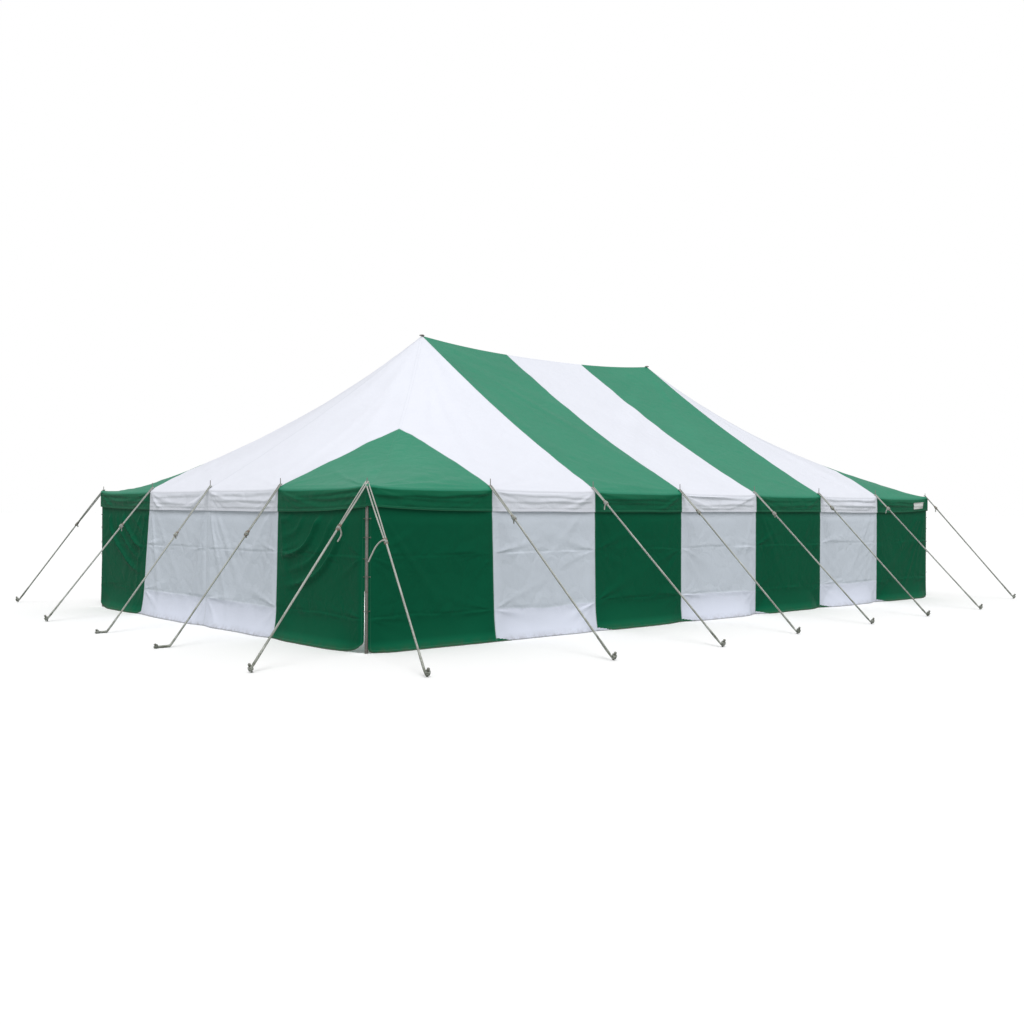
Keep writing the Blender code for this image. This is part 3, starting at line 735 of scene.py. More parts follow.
def repeat_tree():
    """Sets one small part at every point of a mesh, turned as the point says."""
    inputs = {"Geometry": "Geometry", "Part": "Object", "Material": "Material"}
    tree, given, result = new_group("repeated_part", "GeometryNodeTree", inputs, {"Geometry": "Geometry"})
    part = add_node(tree, "GeometryNodeObjectInfo", Object=given["Part"])
    copies = add_node(tree, "GeometryNodeInstanceOnPoints", Points=given["Geometry"])
    feed(tree, copies.inputs["Instance"], part.outputs["Geometry"])
    turned = {}
    for name, axis, pivot in (("upward", "Z", "AUTO"), ("sideward", "X", "Z")):
        turned["Vector"] = stored(tree, name, "FLOAT_VECTOR")
        settings = {"axis": axis, "pivot_axis": pivot}
        align = add_node(tree, "FunctionNodeAlignRotationToVector", settings, **turned)
        turned["Rotation"] = align.outputs["Rotation"]
    feed(tree, copies.inputs["Rotation"], turned["Rotation"])
    return finish_tree(tree, given, result, copies.outputs["Instances"])


TREES = {"loose_cloth": cloth_tree, "swept_round": sweep_tree, "repeated_part": repeat_tree}


def add_tree(obj, name, **values):
    """A Geometry Nodes modifier with its inputs set by their identifiers."""
    modifier = obj.modifiers.new(name, "NODES")
    modifier.node_group = bpy.data.node_groups.get(name) or TREES[name]()
    for item in modifier.node_group.interface.items_tree:
        key = item.name.replace(" ", "_").lower()
        if item.in_out == "INPUT" and key in values:
            modifier[item.identifier] = values[key]


def baked(obj, sharp_angle=None):
    """A piece with its modifiers turned into plain mesh and taken off."""
    graph = bpy.context.evaluated_depsgraph_get()
    mesh = bpy.data.meshes.new_from_object(obj.evaluated_get(graph), depsgraph=graph)
    obj.modifiers.clear()
    old = obj.data
    obj.data = mesh
    bpy.data.meshes.remove(old)
    mesh.name = obj.name
    if sharp_angle is not None:
        mesh.set_sharp_from_angle(angle=math.radians(sharp_angle))
    return obj


def thickened(obj, thickness, offset, sharp_angle):
    """A sheet given its thickness, as plain mesh."""
    body = obj.modifiers.new("thickness", "SOLIDIFY")
    body.thickness = thickness
    body.offset = offset
    return baked(obj, sharp_angle)


def add_piece(name, data):
    """An object in the scene, from its mesh, lamp or camera."""
    obj = bpy.data.objects.new(name, data)
    bpy.context.scene.collection.objects.link(obj)
    return obj


def formed(name, form):
    """An object from the shape that a bmesh holds."""
    mesh = bpy.data.meshes.new(name)
    form.to_mesh(mesh)
    form.free()
    return add_piece(name, mesh)


def set_attribute(mesh, name, kind, domain, values):
    """Keeps a value for each point or face of a mesh."""
    attribute = mesh.attributes.new(name, kind, domain)
    field = "vector" if kind == "FLOAT_VECTOR" else "value"
    attribute.data.foreach_set(field, np.ravel(values))


# Shapes that several pieces share


def soft_noise(u, v, size, seed):
    """Smooth noise from -1 to 1 over a flat cloth, in lumps of one size."""
    count = 97
    lattice = np.random.default_rng(seed).uniform(-1, 1, (count, count))
    i, j = np.floor(u / size).astype(int), np.floor(v / size).astype(int)
    a, b = u / size - i, v / size - j
    a, b = a * a * (3 - 2 * a), b * b * (3 - 2 * b)
    near = lattice[i % count, j % count] * (1 - a) + lattice[(i + 1) % count, j % count] * a
    far = lattice[i % count, (j + 1) % count] * (1 - a)
    far += lattice[(i + 1) % count, (j + 1) % count] * a
    return near * (1 - b) + far * b


def wave(s, size, seed):
    """Smooth noise along one side only."""
    return soft_noise(s, s * 0, size, seed)


def smooth_step(value, low, high):
    """0 below one limit and 1 above the other, with a soft rise between them."""
    share = np.clip((value - low) / (high - low), 0, 1)
    return share * share * (3 - 2 * share)


def bell(offset, width):
    """1 in the middle, falling to 0 on both sides."""
    return np.exp(-((offset / width) ** 2))


def middles(line):
    """The places halfway between the columns of a sheet."""
    return (line[1:] + line[:-1]) / 2


def bay_share(along, side):
    """How far a place is across its bay, 0 at one pole and 1 at the next."""
    place = np.clip((along + side.half_length) / side.bay, 0, side.bays - 1e-9)
    return place - np.floor(place)


def bay_number(along, side):
    """Which bay a place is in, counted from 0."""
    number = np.floor((along + side.half_length) * side.bays / (2 * side.half_length))
    return np.clip(number, 0, side.bays - 1).astype(int)


def is_white(along, side):
    """Where the stripes are white: every second bay, or all but the end ones."""
    bay = bay_number(along, side)
    return bay % 2 == 1 if side.is_long else (bay > 0) & (bay < side.bays - 1)


def slackness(along, side):
    """0 at a pole and 1 halfway between two poles."""
    share = bay_share(along, side)
    return np.where(np.abs(along) < side.half_length, 1 - np.abs(2 * share - 1) ** 5, 0)


def from_pole(along, side):
    """Distance from the nearest pole."""
    share = bay_share(along, side)
    return np.minimum(share, 1 - share) * side.bay


def held_at_poles(along, side, reach):
    """1 at a pole, falling to 0 away from it."""
    return bell(from_pole(along, side), reach)


def seam_distance(along, side):
    """Distance from the nearest seam between two stripes."""
    from_end = side.half_length - np.abs(along)
    return np.where(from_end < 0.5 * side.bay, np.abs(from_end - side.bay), from_pole(along, side))


def fan(u, v, centre, seed, shape, middle=0.0):
    """Tension folds that fan out from one point, straight and crisp, as heights over a flat cloth."""
    across, down = u - centre[0], centre[1] - v
    distance = np.hypot(across, down)
    angle = np.arctan2(across, down)
    random = np.random.default_rng(seed)
    total = np.zeros_like(u)
    for _ in range(shape.count):
        lean = middle + random.uniform(-shape.spread, shape.spread)
        strength = random.uniform(0.35, 1.0)
        share = distance / (shape.reach * random.uniform(0.55, 1.25))
        curl = random.uniform(-0.06, 0.06)
        off = (angle - lean - curl * distance) / (shape.width * random.uniform(0.6, 1.3))
        total += strength * share * np.exp(1 - share) * np.clip(1 - np.abs(off), 0, 1)
    return shape.height * total


def across_places(side, half_edge, per_bay):
    """Columns of a sheet: even across the bays, closer over the overhang."""
    inner = np.linspace(-side.half_length, side.half_length, side.bays * per_bay + 1)
    over = np.linspace(side.half_length, half_edge, 5)[1:]
    return np.concatenate([-over[::-1], inner, over])


def grid_mesh(name, grid, facts, white):
    """A sheet from a grid of points, facing outwards, with the facts of each point."""
    rows, columns = grid.shape[:2]
    outward = np.broadcast_to(np.array(facts["outward"], float), grid.shape)
    index = np.arange(rows * columns).reshape(rows, columns)
    faces = np.stack([index[:-1, :-1], index[:-1, 1:], index[1:, 1:], index[1:, :-1]], axis=-1)
    row, column = rows // 2, columns // 2
    first = grid[row, column + 1] - grid[row, column]
    second = grid[row, column] - grid[row - 1, column]
    if np.dot(np.cross(first, second), outward[row, column]) < 0:
        faces = faces[..., ::-1]
    mesh = bpy.data.meshes.new(name)
    mesh.from_pydata(grid.reshape(-1, 3).tolist(), [], faces.reshape(-1, 4).tolist())
    flat = np.stack([facts["u"], facts["v"], np.zeros_like(facts["u"])], axis=-1)
    set_attribute(mesh, "outward", "FLOAT_VECTOR", "POINT", outward)
    set_attribute(mesh, "flat", "FLOAT_VECTOR", "POINT", flat)
    for kind in ("slack", "hem", "seam", "crumple", "foot", "rim"):
        set_attribute(mesh, kind, "FLOAT", "POINT", np.broadcast_to(facts.get(kind, 0.0), (rows, columns)))
    set_attribute(mesh, "white_stripe", "BOOLEAN", "FACE", np.broadcast_to(white, (rows - 1, columns - 1)))
    corners = np.empty(len(mesh.loops), int)
    mesh.loops.foreach_get("vertex_index", corners)
    layer = mesh.uv_layers.new(name="cloth")
    layer.data.foreach_set("uv", flat.reshape(-1, 3)[corners, :2].ravel())
    form = bmesh.new()
    form.from_mesh(mesh)
    bmesh.ops.remove_doubles(form, verts=form.verts, dist=0.0002)
    form.to_mesh(mesh)
    form.free()
    mesh.polygons.foreach_set("use_smooth", [True] * len(mesh.polygons))
    return mesh


def cloth_piece(name, part, grid, facts, white):
    """A sheet with its ripples, stripes and thickness, as plain mesh."""
    cloth = bpy.context.scene.marquee_cloth
    obj = add_piece(name, grid_mesh(name, grid, facts, white))
    sizes = {key: getattr(cloth, key) for key in RIPPLE_SETTINGS}
    add_tree(obj, "loose_cloth", green=finish(f"{part}_green"), white=finish(f"{part}_white"), **sizes)
    return thickened(obj, cloth.thickness, -1, CLOTH_SHARP_ANGLE)


# Roof cloth


def roof_height(x, y):
    """The roof's plain surface: as in the part, with fuller cloth beside the hips."""
    in_from_end = (EDGE_X - np.abs(x)) / (EDGE_X - PEAK_X)
    hip_y = np.maximum(EDGE_Y * (1 - in_from_end), 1e-6)
    on_end = np.abs(y) < hip_y
    from_middle = np.where(on_end, hip_y * np.minimum(np.abs(y) / hip_y, 1) ** 1.4, np.abs(y))
    in_from_side = (EDGE_Y - from_middle) / EDGE_Y
    ridge = PEAK_HEIGHT - RIDGE_SAG * (1 - np.minimum(np.abs(x / PEAK_X), 1) ** RIDGE_SAG_POWER)
    larger = np.clip(np.maximum(in_from_end, in_from_side), 1e-9, 1)
    far = (x < 0) & (y > 0)
    hip = EDGE_HEIGHT + (PEAK_HEIGHT - EDGE_HEIGHT) * larger ** np.where(far, FAR_HIP_POWER, HIP_POWER)
    low = np.minimum(2 * larger, 1)
    hip = hip - np.where(far, FAR_CORNER_SAG, 0) * 16 * (low * (1 - low)) ** 2
    between = in_from_end >= 1
    top = np.where(between, ridge, hip)
    share = np.where(between, in_from_side, np.minimum(in_from_end, in_from_side) / larger)
    at_end = np.where(far, FULLNESS["far_end"] * 1.6 * larger, FULLNESS["end"])
    fullness = np.where(on_end, at_end, np.where(x < 0, FULLNESS["left"], FULLNESS["right"]))
    sag = np.where(between, SLOPE_SAG, SLOPE_SAG * larger * larger - fullness * 4 * larger * (1 - larger))
    lift = CORNER_LIFT * np.exp(-np.hypot(EDGE_X - np.abs(x), EDGE_Y - np.abs(y)) / EDGE_REACH)
    return EDGE_HEIGHT + lift + (top - EDGE_HEIGHT) * share - 4 * sag * share * (1 - share)


def eave_dip(x, y):
    """How far the cloth hangs between the poles of every side."""
    at_sides = slackness(x, FRONT) * np.exp((np.abs(y) - EDGE_Y) / EDGE_REACH)
    at_ends = slackness(y, LEFT) * np.exp((np.abs(x) - EDGE_X) / EDGE_REACH)
    return bpy.context.scene.marquee_cloth.eave_dip * (at_sides + at_ends)


def pin_places():
    """Where the side poles' pins come through the roof."""
    places = [(FRONT.pole(index), sign * POLE_Y) for index in range(LONG_BAYS + 1) for sign in (-1, 1)]
    return places + [(sign * POLE_X, LEFT.pole(index)) for index in range(1, END_BAYS) for sign in (-1, 1)]


def on_end_line(x):
    """Whether an upright stands at one of the tent's ends."""
    return abs(x) > POLE_X - 0.01


def at_corner(x, y):
    """Whether an upright stands at a corner."""
    return on_end_line(x) and abs(y) > POLE_Y - 0.01


def roof_relief(x, y):
    """Tension folds from the pins and peaks."""
    relief = np.zeros_like(x)
    for index, (pin_x, pin_y) in enumerate(pin_places()):
        way_in = 1 if pin_y < 0 else -1
        across, inward = (x - pin_x) * way_in, (y - pin_y) * way_in
        if at_corner(pin_x, pin_y):
            middle = 0.75 * np.sign(-pin_x) * np.sign(-pin_y)
            relief += fan(across, -inward, (0, 0), CORNER_SEED + index, CORNER_FAN, middle)
            continue
        if on_end_line(pin_x):
            across, inward = (pin_y - y) * np.sign(-pin_x), (x - pin_x) * np.sign(-pin_x)
        for way in (-1, 1):
            relief += fan(across, -inward, (0, 0), PIN_SEED + 2 * index + way, PIN_FAN, 1.22 * way)
    for index, side in enumerate((-1, 1)):
        for seed, shape in PEAK_FANS:
            relief += fan(x, -np.abs(y), (side * PEAK_X, 0), seed + index, shape)
    return relief


def roof_slope(side):
    """One slope of the roof, from a turned-down edge to the hip or ridge."""
    along = across_places(side, side.half_edge, ROOF_COLUMNS[side.kind])
    if side.is_long:
        length = EDGE_Y * np.clip((EDGE_X - np.abs(along)) / (EDGE_X - PEAK_X), 0, 1)
    else:
        length = (EDGE_X - PEAK_X) * (1 - np.abs(along) / EDGE_Y)
    steps = np.concatenate([[0.0], np.linspace(0, 1, ROOF_ROWS) ** 1.7])
    inward = steps[:, None] * length
    places = np.broadcast_to(along, inward.shape)
    out = side.sign * (side.edge_plane - inward)
    x, y = (places, out) if side.is_long else (out, places)
    z = roof_height(x, y) - eave_dip(x, y) + roof_relief(x, y) * smooth_step(inward, 0.02, 0.12)
    z = z - 0.02 * np.clip(1 - inward / 0.026, 0, 1) ** 3
    z[0] -= 0.018
    grid = np.stack([x, y, z], axis=-1)
    climb = np.zeros_like(inward)
    climb[1:] = np.cumsum(np.linalg.norm(np.diff(grid, axis=0), axis=-1), axis=0)
    facts = {
        "u": places + (0 if side.is_long else 40),
        "v": climb + 3 * side.sign,
        "outward": (0, 0, 1),
        "slack": 0.6 * smooth_step(inward, 0.05, 0.5) * smooth_step(length - inward, 0.0, 0.25),
        "hem": np.minimum(climb, length - inward),
        "seam": seam_distance(places, side),
        "crumple": 0.03,
    }
    return cloth_piece(f"roof_cloth_{side.name}", "roof", grid, facts, is_white(middles(along), side))


# Valance


def valance_relief(side, s, t):
    """The valance's folds: uneven level rolls, and tension folds that run out from the pins."""
    seed = VALANCE_SEED[side.name]
    share, bay = bay_share(s, side), bay_number(s, side)
    random = np.random.default_rng(seed)
    free = smooth_step(np.minimum(share, 1 - share), 0.0, 0.09)
    out = np.zeros_like(s)
    for depth in (0.20, 0.52):
        start = depth + random.uniform(-0.08, 0.10, side.bays)[bay]
        tilt = random.uniform(-0.20, 0.20, side.bays)[bay]
        size = random.uniform(0.5, 1.2, side.bays)[bay]
        way = random.uniform(-1, 1, side.bays)[bay]
        below = t - (start + tilt * (share - 0.5) + 0.05 * wave(s, 0.45, int(100 * depth)))
        roll = np.where(below < 0, bell(below, 0.20), np.clip(1 - below / 0.10, 0, 1))
        grown = 0.35 + 0.65 * smooth_step(np.where(way > 0, share, 1 - share), 0.0, 0.7)
        out += ROLL_HEIGHT[side.kind] * size * roll * free * grown
    shape, middle = VALANCE_FAN[side.kind], VALANCE_FAN_MIDDLE[side.kind]
    for index in range(side.bays + 1):
        for way in (-1, 1):
            fold = seed * 50 + 2 * index + way
            out += fan(s, -0.31 * t, (side.pole(index), 0.0), fold, shape, middle * way)
    out += 0.002 * soft_noise(s, t * 0.35, 0.12, 43)
    out *= 1 - 0.85 * smooth_step(t, *HEM_START)
    out += 0.016 * t * t * (0.4 + 0.6 * free)
    ends = smooth_step(side.half_edge - np.abs(s), 0.0, 0.12)
    return np.maximum(out * smooth_step(t, 0.0, 0.10) * (0.15 + 0.85 * ends), -0.003)


def valance(side):
    """The skirt under one side's edge: folds swag from pin to pin above a straight hem."""
    per_bay, rows = VALANCE_GRID
    along = across_places(side, side.half_edge - 0.001, per_bay)
    s = np.broadcast_to(along, (rows, len(along)))
    t = np.broadcast_to(np.linspace(0, 1, rows)[:, None], s.shape)
    from_end = side.half_edge - np.abs(s)
    dip = bpy.context.scene.marquee_cloth.eave_dip * slackness(s, side)
    top = VALANCE_TOP - dip + CORNER_LIFT * np.exp(-from_end / EDGE_REACH)
    foot = VALANCE_FOOT[side.name] + VALANCE_CORNER_LIFT * np.exp(-from_end / 0.9)
    foot += 0.010 * wave(s, 1.6, 31) + 0.003 * wave(s, 0.4, 32)
    z = top + (foot - top) * t
    tucked = -0.004 * (1 - smooth_step(t, 0.0, 0.07))
    reach = side.edge_plane - 0.001 + valance_relief(side, s, t) + tucked
    facts = {
        "u": s + 10,
        "v": z + PATTERN_PLACE[side.name],
        "outward": side.outward,
        "slack": 0.25 * smooth_step(t, 0.1, 0.5) * smooth_step(from_end, 0.0, 0.12),
        "hem": (1 - t) * 0.34,
        "seam": seam_distance(s, side),
        "crumple": 0.05 * (1 - smooth_step(t, *HEM_START)),
        # Painted shadow: a dark line along the valance's hem
        "rim": 0.35 * smooth_step(t, 0.955, 0.985),
    }
    name = f"valance_cloth_{side.name}"
    return cloth_piece(name, "valance", side.grid(s, reach, z), facts, is_white(middles(along), side))


def label(name):
    """A blank cloth patch sewn on the front valance, a little crumpled and hanging low at one side."""
    across, down = np.meshgrid(*(np.linspace(0, 1, count) for count in LABEL_GRID))
    s = LABEL_LOW[0] + (LABEL_HIGH[0] - LABEL_LOW[0]) * across
    height = LABEL_HIGH[1] - (LABEL_HIGH[1] - LABEL_LOW[1]) * down - LABEL_SLANT * (1 - across)
    t = np.clip((VALANCE_TOP - height) / (VALANCE_TOP - VALANCE_FOOT["front"]), 0, 1)
    out = valance_relief(FRONT, s, t) + 0.0045 + 0.004 * (1 + soft_noise(s, height, 0.06, 91))
    facts = {"u": s, "v": height, "outward": FRONT.outward, "hem": 1.0, "seam": 1.0}
    mesh = grid_mesh(name, FRONT.grid(s, EDGE_Y - 0.001 + out, height), facts, False)
    mesh.materials.append(finish("label_patch"))
    return thickened(add_piece(name, mesh), LABEL_THICKNESS, 0, SHARP_ANGLE)


# Curtains


def swags(s, z, pole, inward, seed):
    """Folds that hang in arcs from the wall's top to the seam below one pole."""
    across, down = (pole - s) * inward / 1.45, WALL_TOP - 0.12 - z
    radius = np.hypot(across, down)
    turn = np.arctan2(down, across)
    wander = 0.03 * wave(turn * 2, 0.9, seed)
    total = np.zeros_like(s)
    for arc, strength in ((0.32, 0.6), (0.56, 0.35), (0.84, 1.0), (1.06, 0.45), (1.28, 0.9)):
        ridge = np.clip(1 - np.abs(radius - arc - wander) / 0.05, 0, 1)
        total += strength * ridge * smooth_step(turn, 0.05, 0.45) * (1 - smooth_step(turn, 1.15, 1.55))
    return 0.058 * total * (across > 0)


def crease_line(s, level, seed):
    """The wavy line that one packing crease follows."""
    return level + 0.022 * wave(s, 0.85, seed) + 0.007 * wave(s, 0.24, seed + 1)


def creased(s, z, level, seed):
    """Cloth pinched in along a packing crease, bulging above it here and below it there."""
    off = z - crease_line(s, level, seed)
    above = smooth_step(wave(s, 0.55, seed + 2), -0.5, 0.8)
    broken = 0.4 + 0.6 * smooth_step(wave(s, 0.37, seed + 4), -0.6, 0.3)
    up = np.clip(off / 0.035, 0, 1) * np.exp(-np.maximum(off, 0) / 0.16)
    down = np.clip(-off / 0.022, 0, 1) * np.exp(-np.maximum(-off, 0) / 0.12)
    return broken * (0.012 * above * up + 0.010 * (1.15 - above) * down)


def curtain_relief(side, s, z):
    """Packing creases, tension folds from the poles, and the slack between them, outwards."""
    seed = CURTAIN_SEED[side.name]
    out = 0.008 * (1 + soft_noise(s + 0.55 * z, z * 0.8 - 0.2 * s, 0.85, seed + 11))
    out += 0.003 * (1 + soft_noise(s - 0.4 * z, z + 0.3 * s, 0.4, seed + 12))
    for index in range(side.bays + 1):
        pole, fold = side.pole(index), seed + 20 + index
        inward = 1 if index == 0 else -1
        if 0 < index < side.bays:
            out += fan(s, z, (pole, WALL_TOP + 0.05), fold, POLE_FAN[side.kind])
        elif side.is_long:
            out += fan(s, z, (pole, WALL_TOP), fold, END_POLE_FAN, 0.5 * inward)
        else:
            out += swags(s, z, pole + inward * side.bay, inward, fold)
        for number, level in enumerate(CREASES):
            for way in (-1, 1):
                pinch = seed + 60 + 9 * index + 4 * number + way
                out += fan(s, z, (pole, level), pinch, PINCH_FAN, 1.3 * way)
    for number, level in enumerate(CREASES):
        out += creased(s, z, level, seed + 31 + 10 * number)
    out *= 1 - 0.8 * held_at_poles(s, side, 0.07)
    welt = held_at_poles(s, side, 0.018)
    return out + 0.005 * welt * (0.5 + 0.5 * soft_noise(s * 0, z, 0.5, seed))


def curtain_levels(rows):
    """Heights of the curtain's rows, closer together at the foot and at both creases."""
    fine = np.linspace(0.05, WALL_TOP, 600)
    share = np.cumsum(1 + sum(2.6 * bell(fine - level, 0.075) for level in CREASES))
    share = (share - share[0]) / (share[-1] - share[0])
    upper = np.interp(np.linspace(0, 1, rows - 5), share, fine)
    return np.concatenate([0.05 * np.linspace(0, 1, 6)[:-1], upper])


def curtain(side):
    """One side's curtain, kicked out at the foot, its lower corners rounded."""
    per_bay, rows = CURTAIN_GRID[side.name]
    end = side.half_length - CURTAIN_END_GAP
    inner = np.linspace(-side.half_length, side.half_length, side.bays * per_bay + 1)
    inner = inner[np.abs(inner) < end - 0.01]
    along = np.concatenate([[-end, -end + 0.008], inner, [end - 0.008, end]])
    s = np.broadcast_to(along, (rows, len(along)))
    level = np.broadcast_to(curtain_levels(rows)[:, None], s.shape)
    from_end = end - np.abs(s)
    width, height = WALL_CORNER[side.kind]
    short = np.clip(1 - from_end / width, 0, 1)
    kick_share = np.clip(1 - level / WALL_KICK_START, 0, 1)
    z = level + (height * (1 - np.sqrt(1 - short * short)) + 0.002) * kick_share
    near_end = smooth_step(from_end, 0.0, 0.06)
    exposed = 1 - smooth_step(z, *SHELTERED)
    out = curtain_relief(side, s, z) * exposed * (0.3 + 0.7 * near_end) * (1 - 0.6 * kick_share)
    at_end = 0.15 + 0.85 * smooth_step(from_end, 0.0, 0.3 if side.is_long else 0.7)
    lean = 0.035 * near_end
    if side.is_long:
        lean = np.clip(-0.03 + 0.02 * s * side.sign, -0.05, 0.085) * smooth_step(from_end, 0.0, 0.7)
    held = held_at_poles(s, side, 0.28)
    stretch = np.minimum(1 + 0.22 * wave(s, 1.1, 55), 1.1)
    kick = WALL_KICK * kick_share**1.8 * stretch * at_end * (1 - 0.65 * held)
    out = np.maximum(out, -0.0025) + np.maximum(kick + lean * held * (1 - z / WALL_TOP), 0)
    white_here, seam = is_white(s, side), seam_distance(s, side)
    if side is LEFT:
        s = s + 0.24 * (1 - z / WALL_TOP) * bell(s - side.half_length / 2, 0.8)
    # Painted light: below the lower crease on white stripes, and low down on green ones, the curtain takes
    # its brighter foot colour, standing in for the sky light on the flared foot
    knee = crease_line(s, CREASES[1], CURTAIN_SEED[side.name] + 41)
    foot = smooth_step(z, 0.5 * PAINTED_LIGHT_BAND, PAINTED_LIGHT_BAND)
    near_crease = sum(bell(z - line, 0.22) for line in CREASES)
    facts = {
        "u": s + 80,
        "v": z + PATTERN_PLACE[side.name],
        "outward": side.outward,
        "slack": 0.6 * exposed * near_end * smooth_step(z, 0.0, 0.3),
        "hem": np.minimum(level, from_end),
        "seam": seam,
        "crumple": (0.022 + 0.05 * near_crease) * (0.15 + 0.85 * smooth_step(z, 0.36, 0.46)),
        # Painted light: where the brighter foot colour is mixed in
        "foot": 1 - np.where(white_here, smooth_step(z - knee, -0.03, 0.0), foot),
        "rim": 0.8 * (1 - smooth_step(level, 0.008, 0.016)),
    }
    middle = middles(along)
    white = np.broadcast_to(is_white(middle, side), (rows - 1, len(middle))).copy()
    for row, part in enumerate((1.0, 0.85, 0.66, 0.44, 0.2)):
        white[row] = is_white(middle - part * FOOT_SHIFT[side.kind], side)
    grid = side.grid(s, side.pole_plane + WALL_FACE + out, z)
    return cloth_piece(f"curtain_{side.name}", "wall", grid, facts, white)


# Ropes, poles and pegs


def swept(name, lines, sides, material):
    """Round rods or ropes along open lines whose points each have a thickness, as one piece."""
    points, edges, thickness = [], [], []
    for line, radii in lines:
        first = len(points)
        points += [tuple(point) for point in line]
        edges += [(first + i, first + i + 1) for i in range(len(line) - 1)]
        thickness += [radii] * len(line) if isinstance(radii, float) else list(radii)
    mesh = bpy.data.meshes.new(name)
    mesh.from_pydata(points, edges, [])
    set_attribute(mesh, "thickness", "FLOAT", "POINT", thickness)
    obj = add_piece(name, mesh)
    add_tree(obj, "swept_round", sides=sides, material=finish(material))
    return baked(obj, SHARP_ANGLE)


def bend(points, count):
    """A smooth line of many points through a few."""
    knots = [Vector(point) for point in points]
    knots = [2 * knots[0] - knots[1]] + knots + [2 * knots[-1] - knots[-2]]
    line = []
    for i in range(1, len(knots) - 2):
        before, start, end, after = knots[i - 1 : i + 3]
        for step in range(count):
            t = step / count
            straight = 2 * start + (end - before) * t
            curved = (2 * before - 5 * start + 4 * end - after) * t * t
            line.append(0.5 * (straight + curved + (3 * start - before - 3 * end + after) * t * t * t))
    line.append(knots[-2])
    return line


def around(centre, axis, start, radius, turns, pitch):
    """Points of a winding round an axis, from a start direction."""
    first = (start - axis * start.dot(axis)).normalized()
    second = axis.cross(first)
    count = int(turns * 12)
    points = []
    for step in range(count + 1):
        angle = 2 * math.pi * turns * step / count
        lift = axis * pitch * turns * step / count
        points.append(centre + lift + radius * (first * math.cos(angle) + second * math.sin(angle)))
    return points


class Guy:
    """One guy rope: the points and directions that its rope, runner and peg share."""

    def __init__(self, node, pin, reach, share, layer=0):
        self.node = node
        self.layer = layer
        self.laid = LAID.get(node, 0)
        self.knotted = node.startswith("corner")
        self.eye = Vector((*pin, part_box(node)[1].z - EYE_HEIGHT / 2 + 0.019 * layer))
        if self.knotted:
            self.eye.z -= CORNER_EYE_DROP
        self.outward = Vector((*reach, 0)).normalized()
        self.foot = Vector((pin[0] + reach[0], pin[1] + reach[1], 0))
        self.peg = self.outward * math.sin(PEG_LEAN) + Vector((0, 0, math.cos(PEG_LEAN)))
        self.hitch = self.foot + self.peg * HITCH_UP_PEG * (DEEP if self.laid else 1)
        aim = self.hitch - self.outward * self.laid
        self.slope = (aim - self.eye).normalized()
        self.sideways = Vector((0, 0, 1)).cross(self.outward)
        self.runner = self.eye + (aim - self.eye) * share


def guys():
    """Every guy rope, side by side and then the corners."""
    found = []
    for side in (FRONT, BACK):
        for index, (reach, share) in enumerate(LONG_GUYS, 1):
            node = f"guy_{side.name}_{index + 1}"
            pin = (side.pole(index), side.sign * POLE_Y)
            found.append(Guy(node, pin, (ASIDE.get(node, 0), side.sign * reach), share))
    for side in (LEFT, RIGHT):
        for index, (reach, share) in enumerate(END_GUYS, 1):
            pin = (side.sign * POLE_X, side.pole(index))
            found.append(Guy(f"guy_{side.name}_{index}", pin, (side.sign * reach, 0), share))
    for node, ropes in CORNER_GUYS.items():
        x_sign = -1 if node.endswith("left") else 1
        y_sign = -1 if "front" in node else 1
        for layer, (away, share) in enumerate(ropes):
            reach = (x_sign * away[0], y_sign * away[1])
            found.append(Guy(node, (x_sign * POLE_X, y_sign * POLE_Y), reach, share, layer))
    return found


def doubled_line(guy):
    """The doubled rope: up from the runner, round the pin and down again."""
    loop = []
    for step in range(9):
        angle = math.pi * (step / 8 - 0.5)
        forward = guy.eye - guy.outward * EYE_RADIUS * math.cos(angle)
        loop.append(forward + guy.sideways * EYE_RADIUS * math.sin(angle))
    foot = guy.runner - guy.slope * HOLE_REACH
    spread = 0.02 if guy.knotted else 0.0145
    halves = []
    for side in (-1, 1):
        end = foot + guy.sideways * side * 0.0125
        middle = (guy.eye + foot) / 2 + guy.sideways * side * spread
        halves.append([end, middle, guy.eye + guy.sideways * side * EYE_RADIUS + guy.slope * 0.07])
    left = bend([*halves[0], loop[0]], 8)[:-1]
    right = bend([loop[-1], *reversed(halves[1])], 8)[1:]
    return left + loop + right


def single_line(guy, radius, thin):
    """The single rope down to the peg and wound round it, with its thickness at each point."""
    below = guy.runner + guy.slope * HOLE_REACH
    low, count = (0.010, 2.0) if guy.laid else (0.024, 3.0)
    wound = PEG_RADIUS + 0.8 * thin
    turns = around(guy.hitch - guy.peg * low, guy.peg.normalized(), -guy.sideways, wound, count, 1.6 * thin)
    knob = guy.hitch + guy.peg * 0.010
    for step, point in enumerate(turns):
        swell = 0.2 * math.sin(math.pi * step / (len(turns) - 1))
        axis = knob + guy.peg * (point - knob).dot(guy.peg)
        turns[step] = axis + (point - axis) * (1 + swell)
    knots = [below, below + (turns[0] - below) * 0.5, turns[0]]
    if guy.laid:
        landing = Vector((*(guy.hitch - guy.outward * guy.laid).xy, 1.5 * radius))
        knots = [below, below + (landing - below) * 0.55, below + (landing - below) * 0.96]
        knots += [landing + guy.outward * 0.03, turns[0]]
    run = bend(knots, 12)[:-1]
    thickness = []
    for point in run:
        near_peg = max(0.0, 1 - (point - turns[0]).length / 0.42)
        thickness.append(radius * (1 + 0.22 * min(1.0, 2.5 * near_peg)))
    thickness += [thin] * len(turns)
    for point, half in zip(run + turns, thickness):
        point.z = max(point.z, 1.03 * half)
    return run + turns, thickness


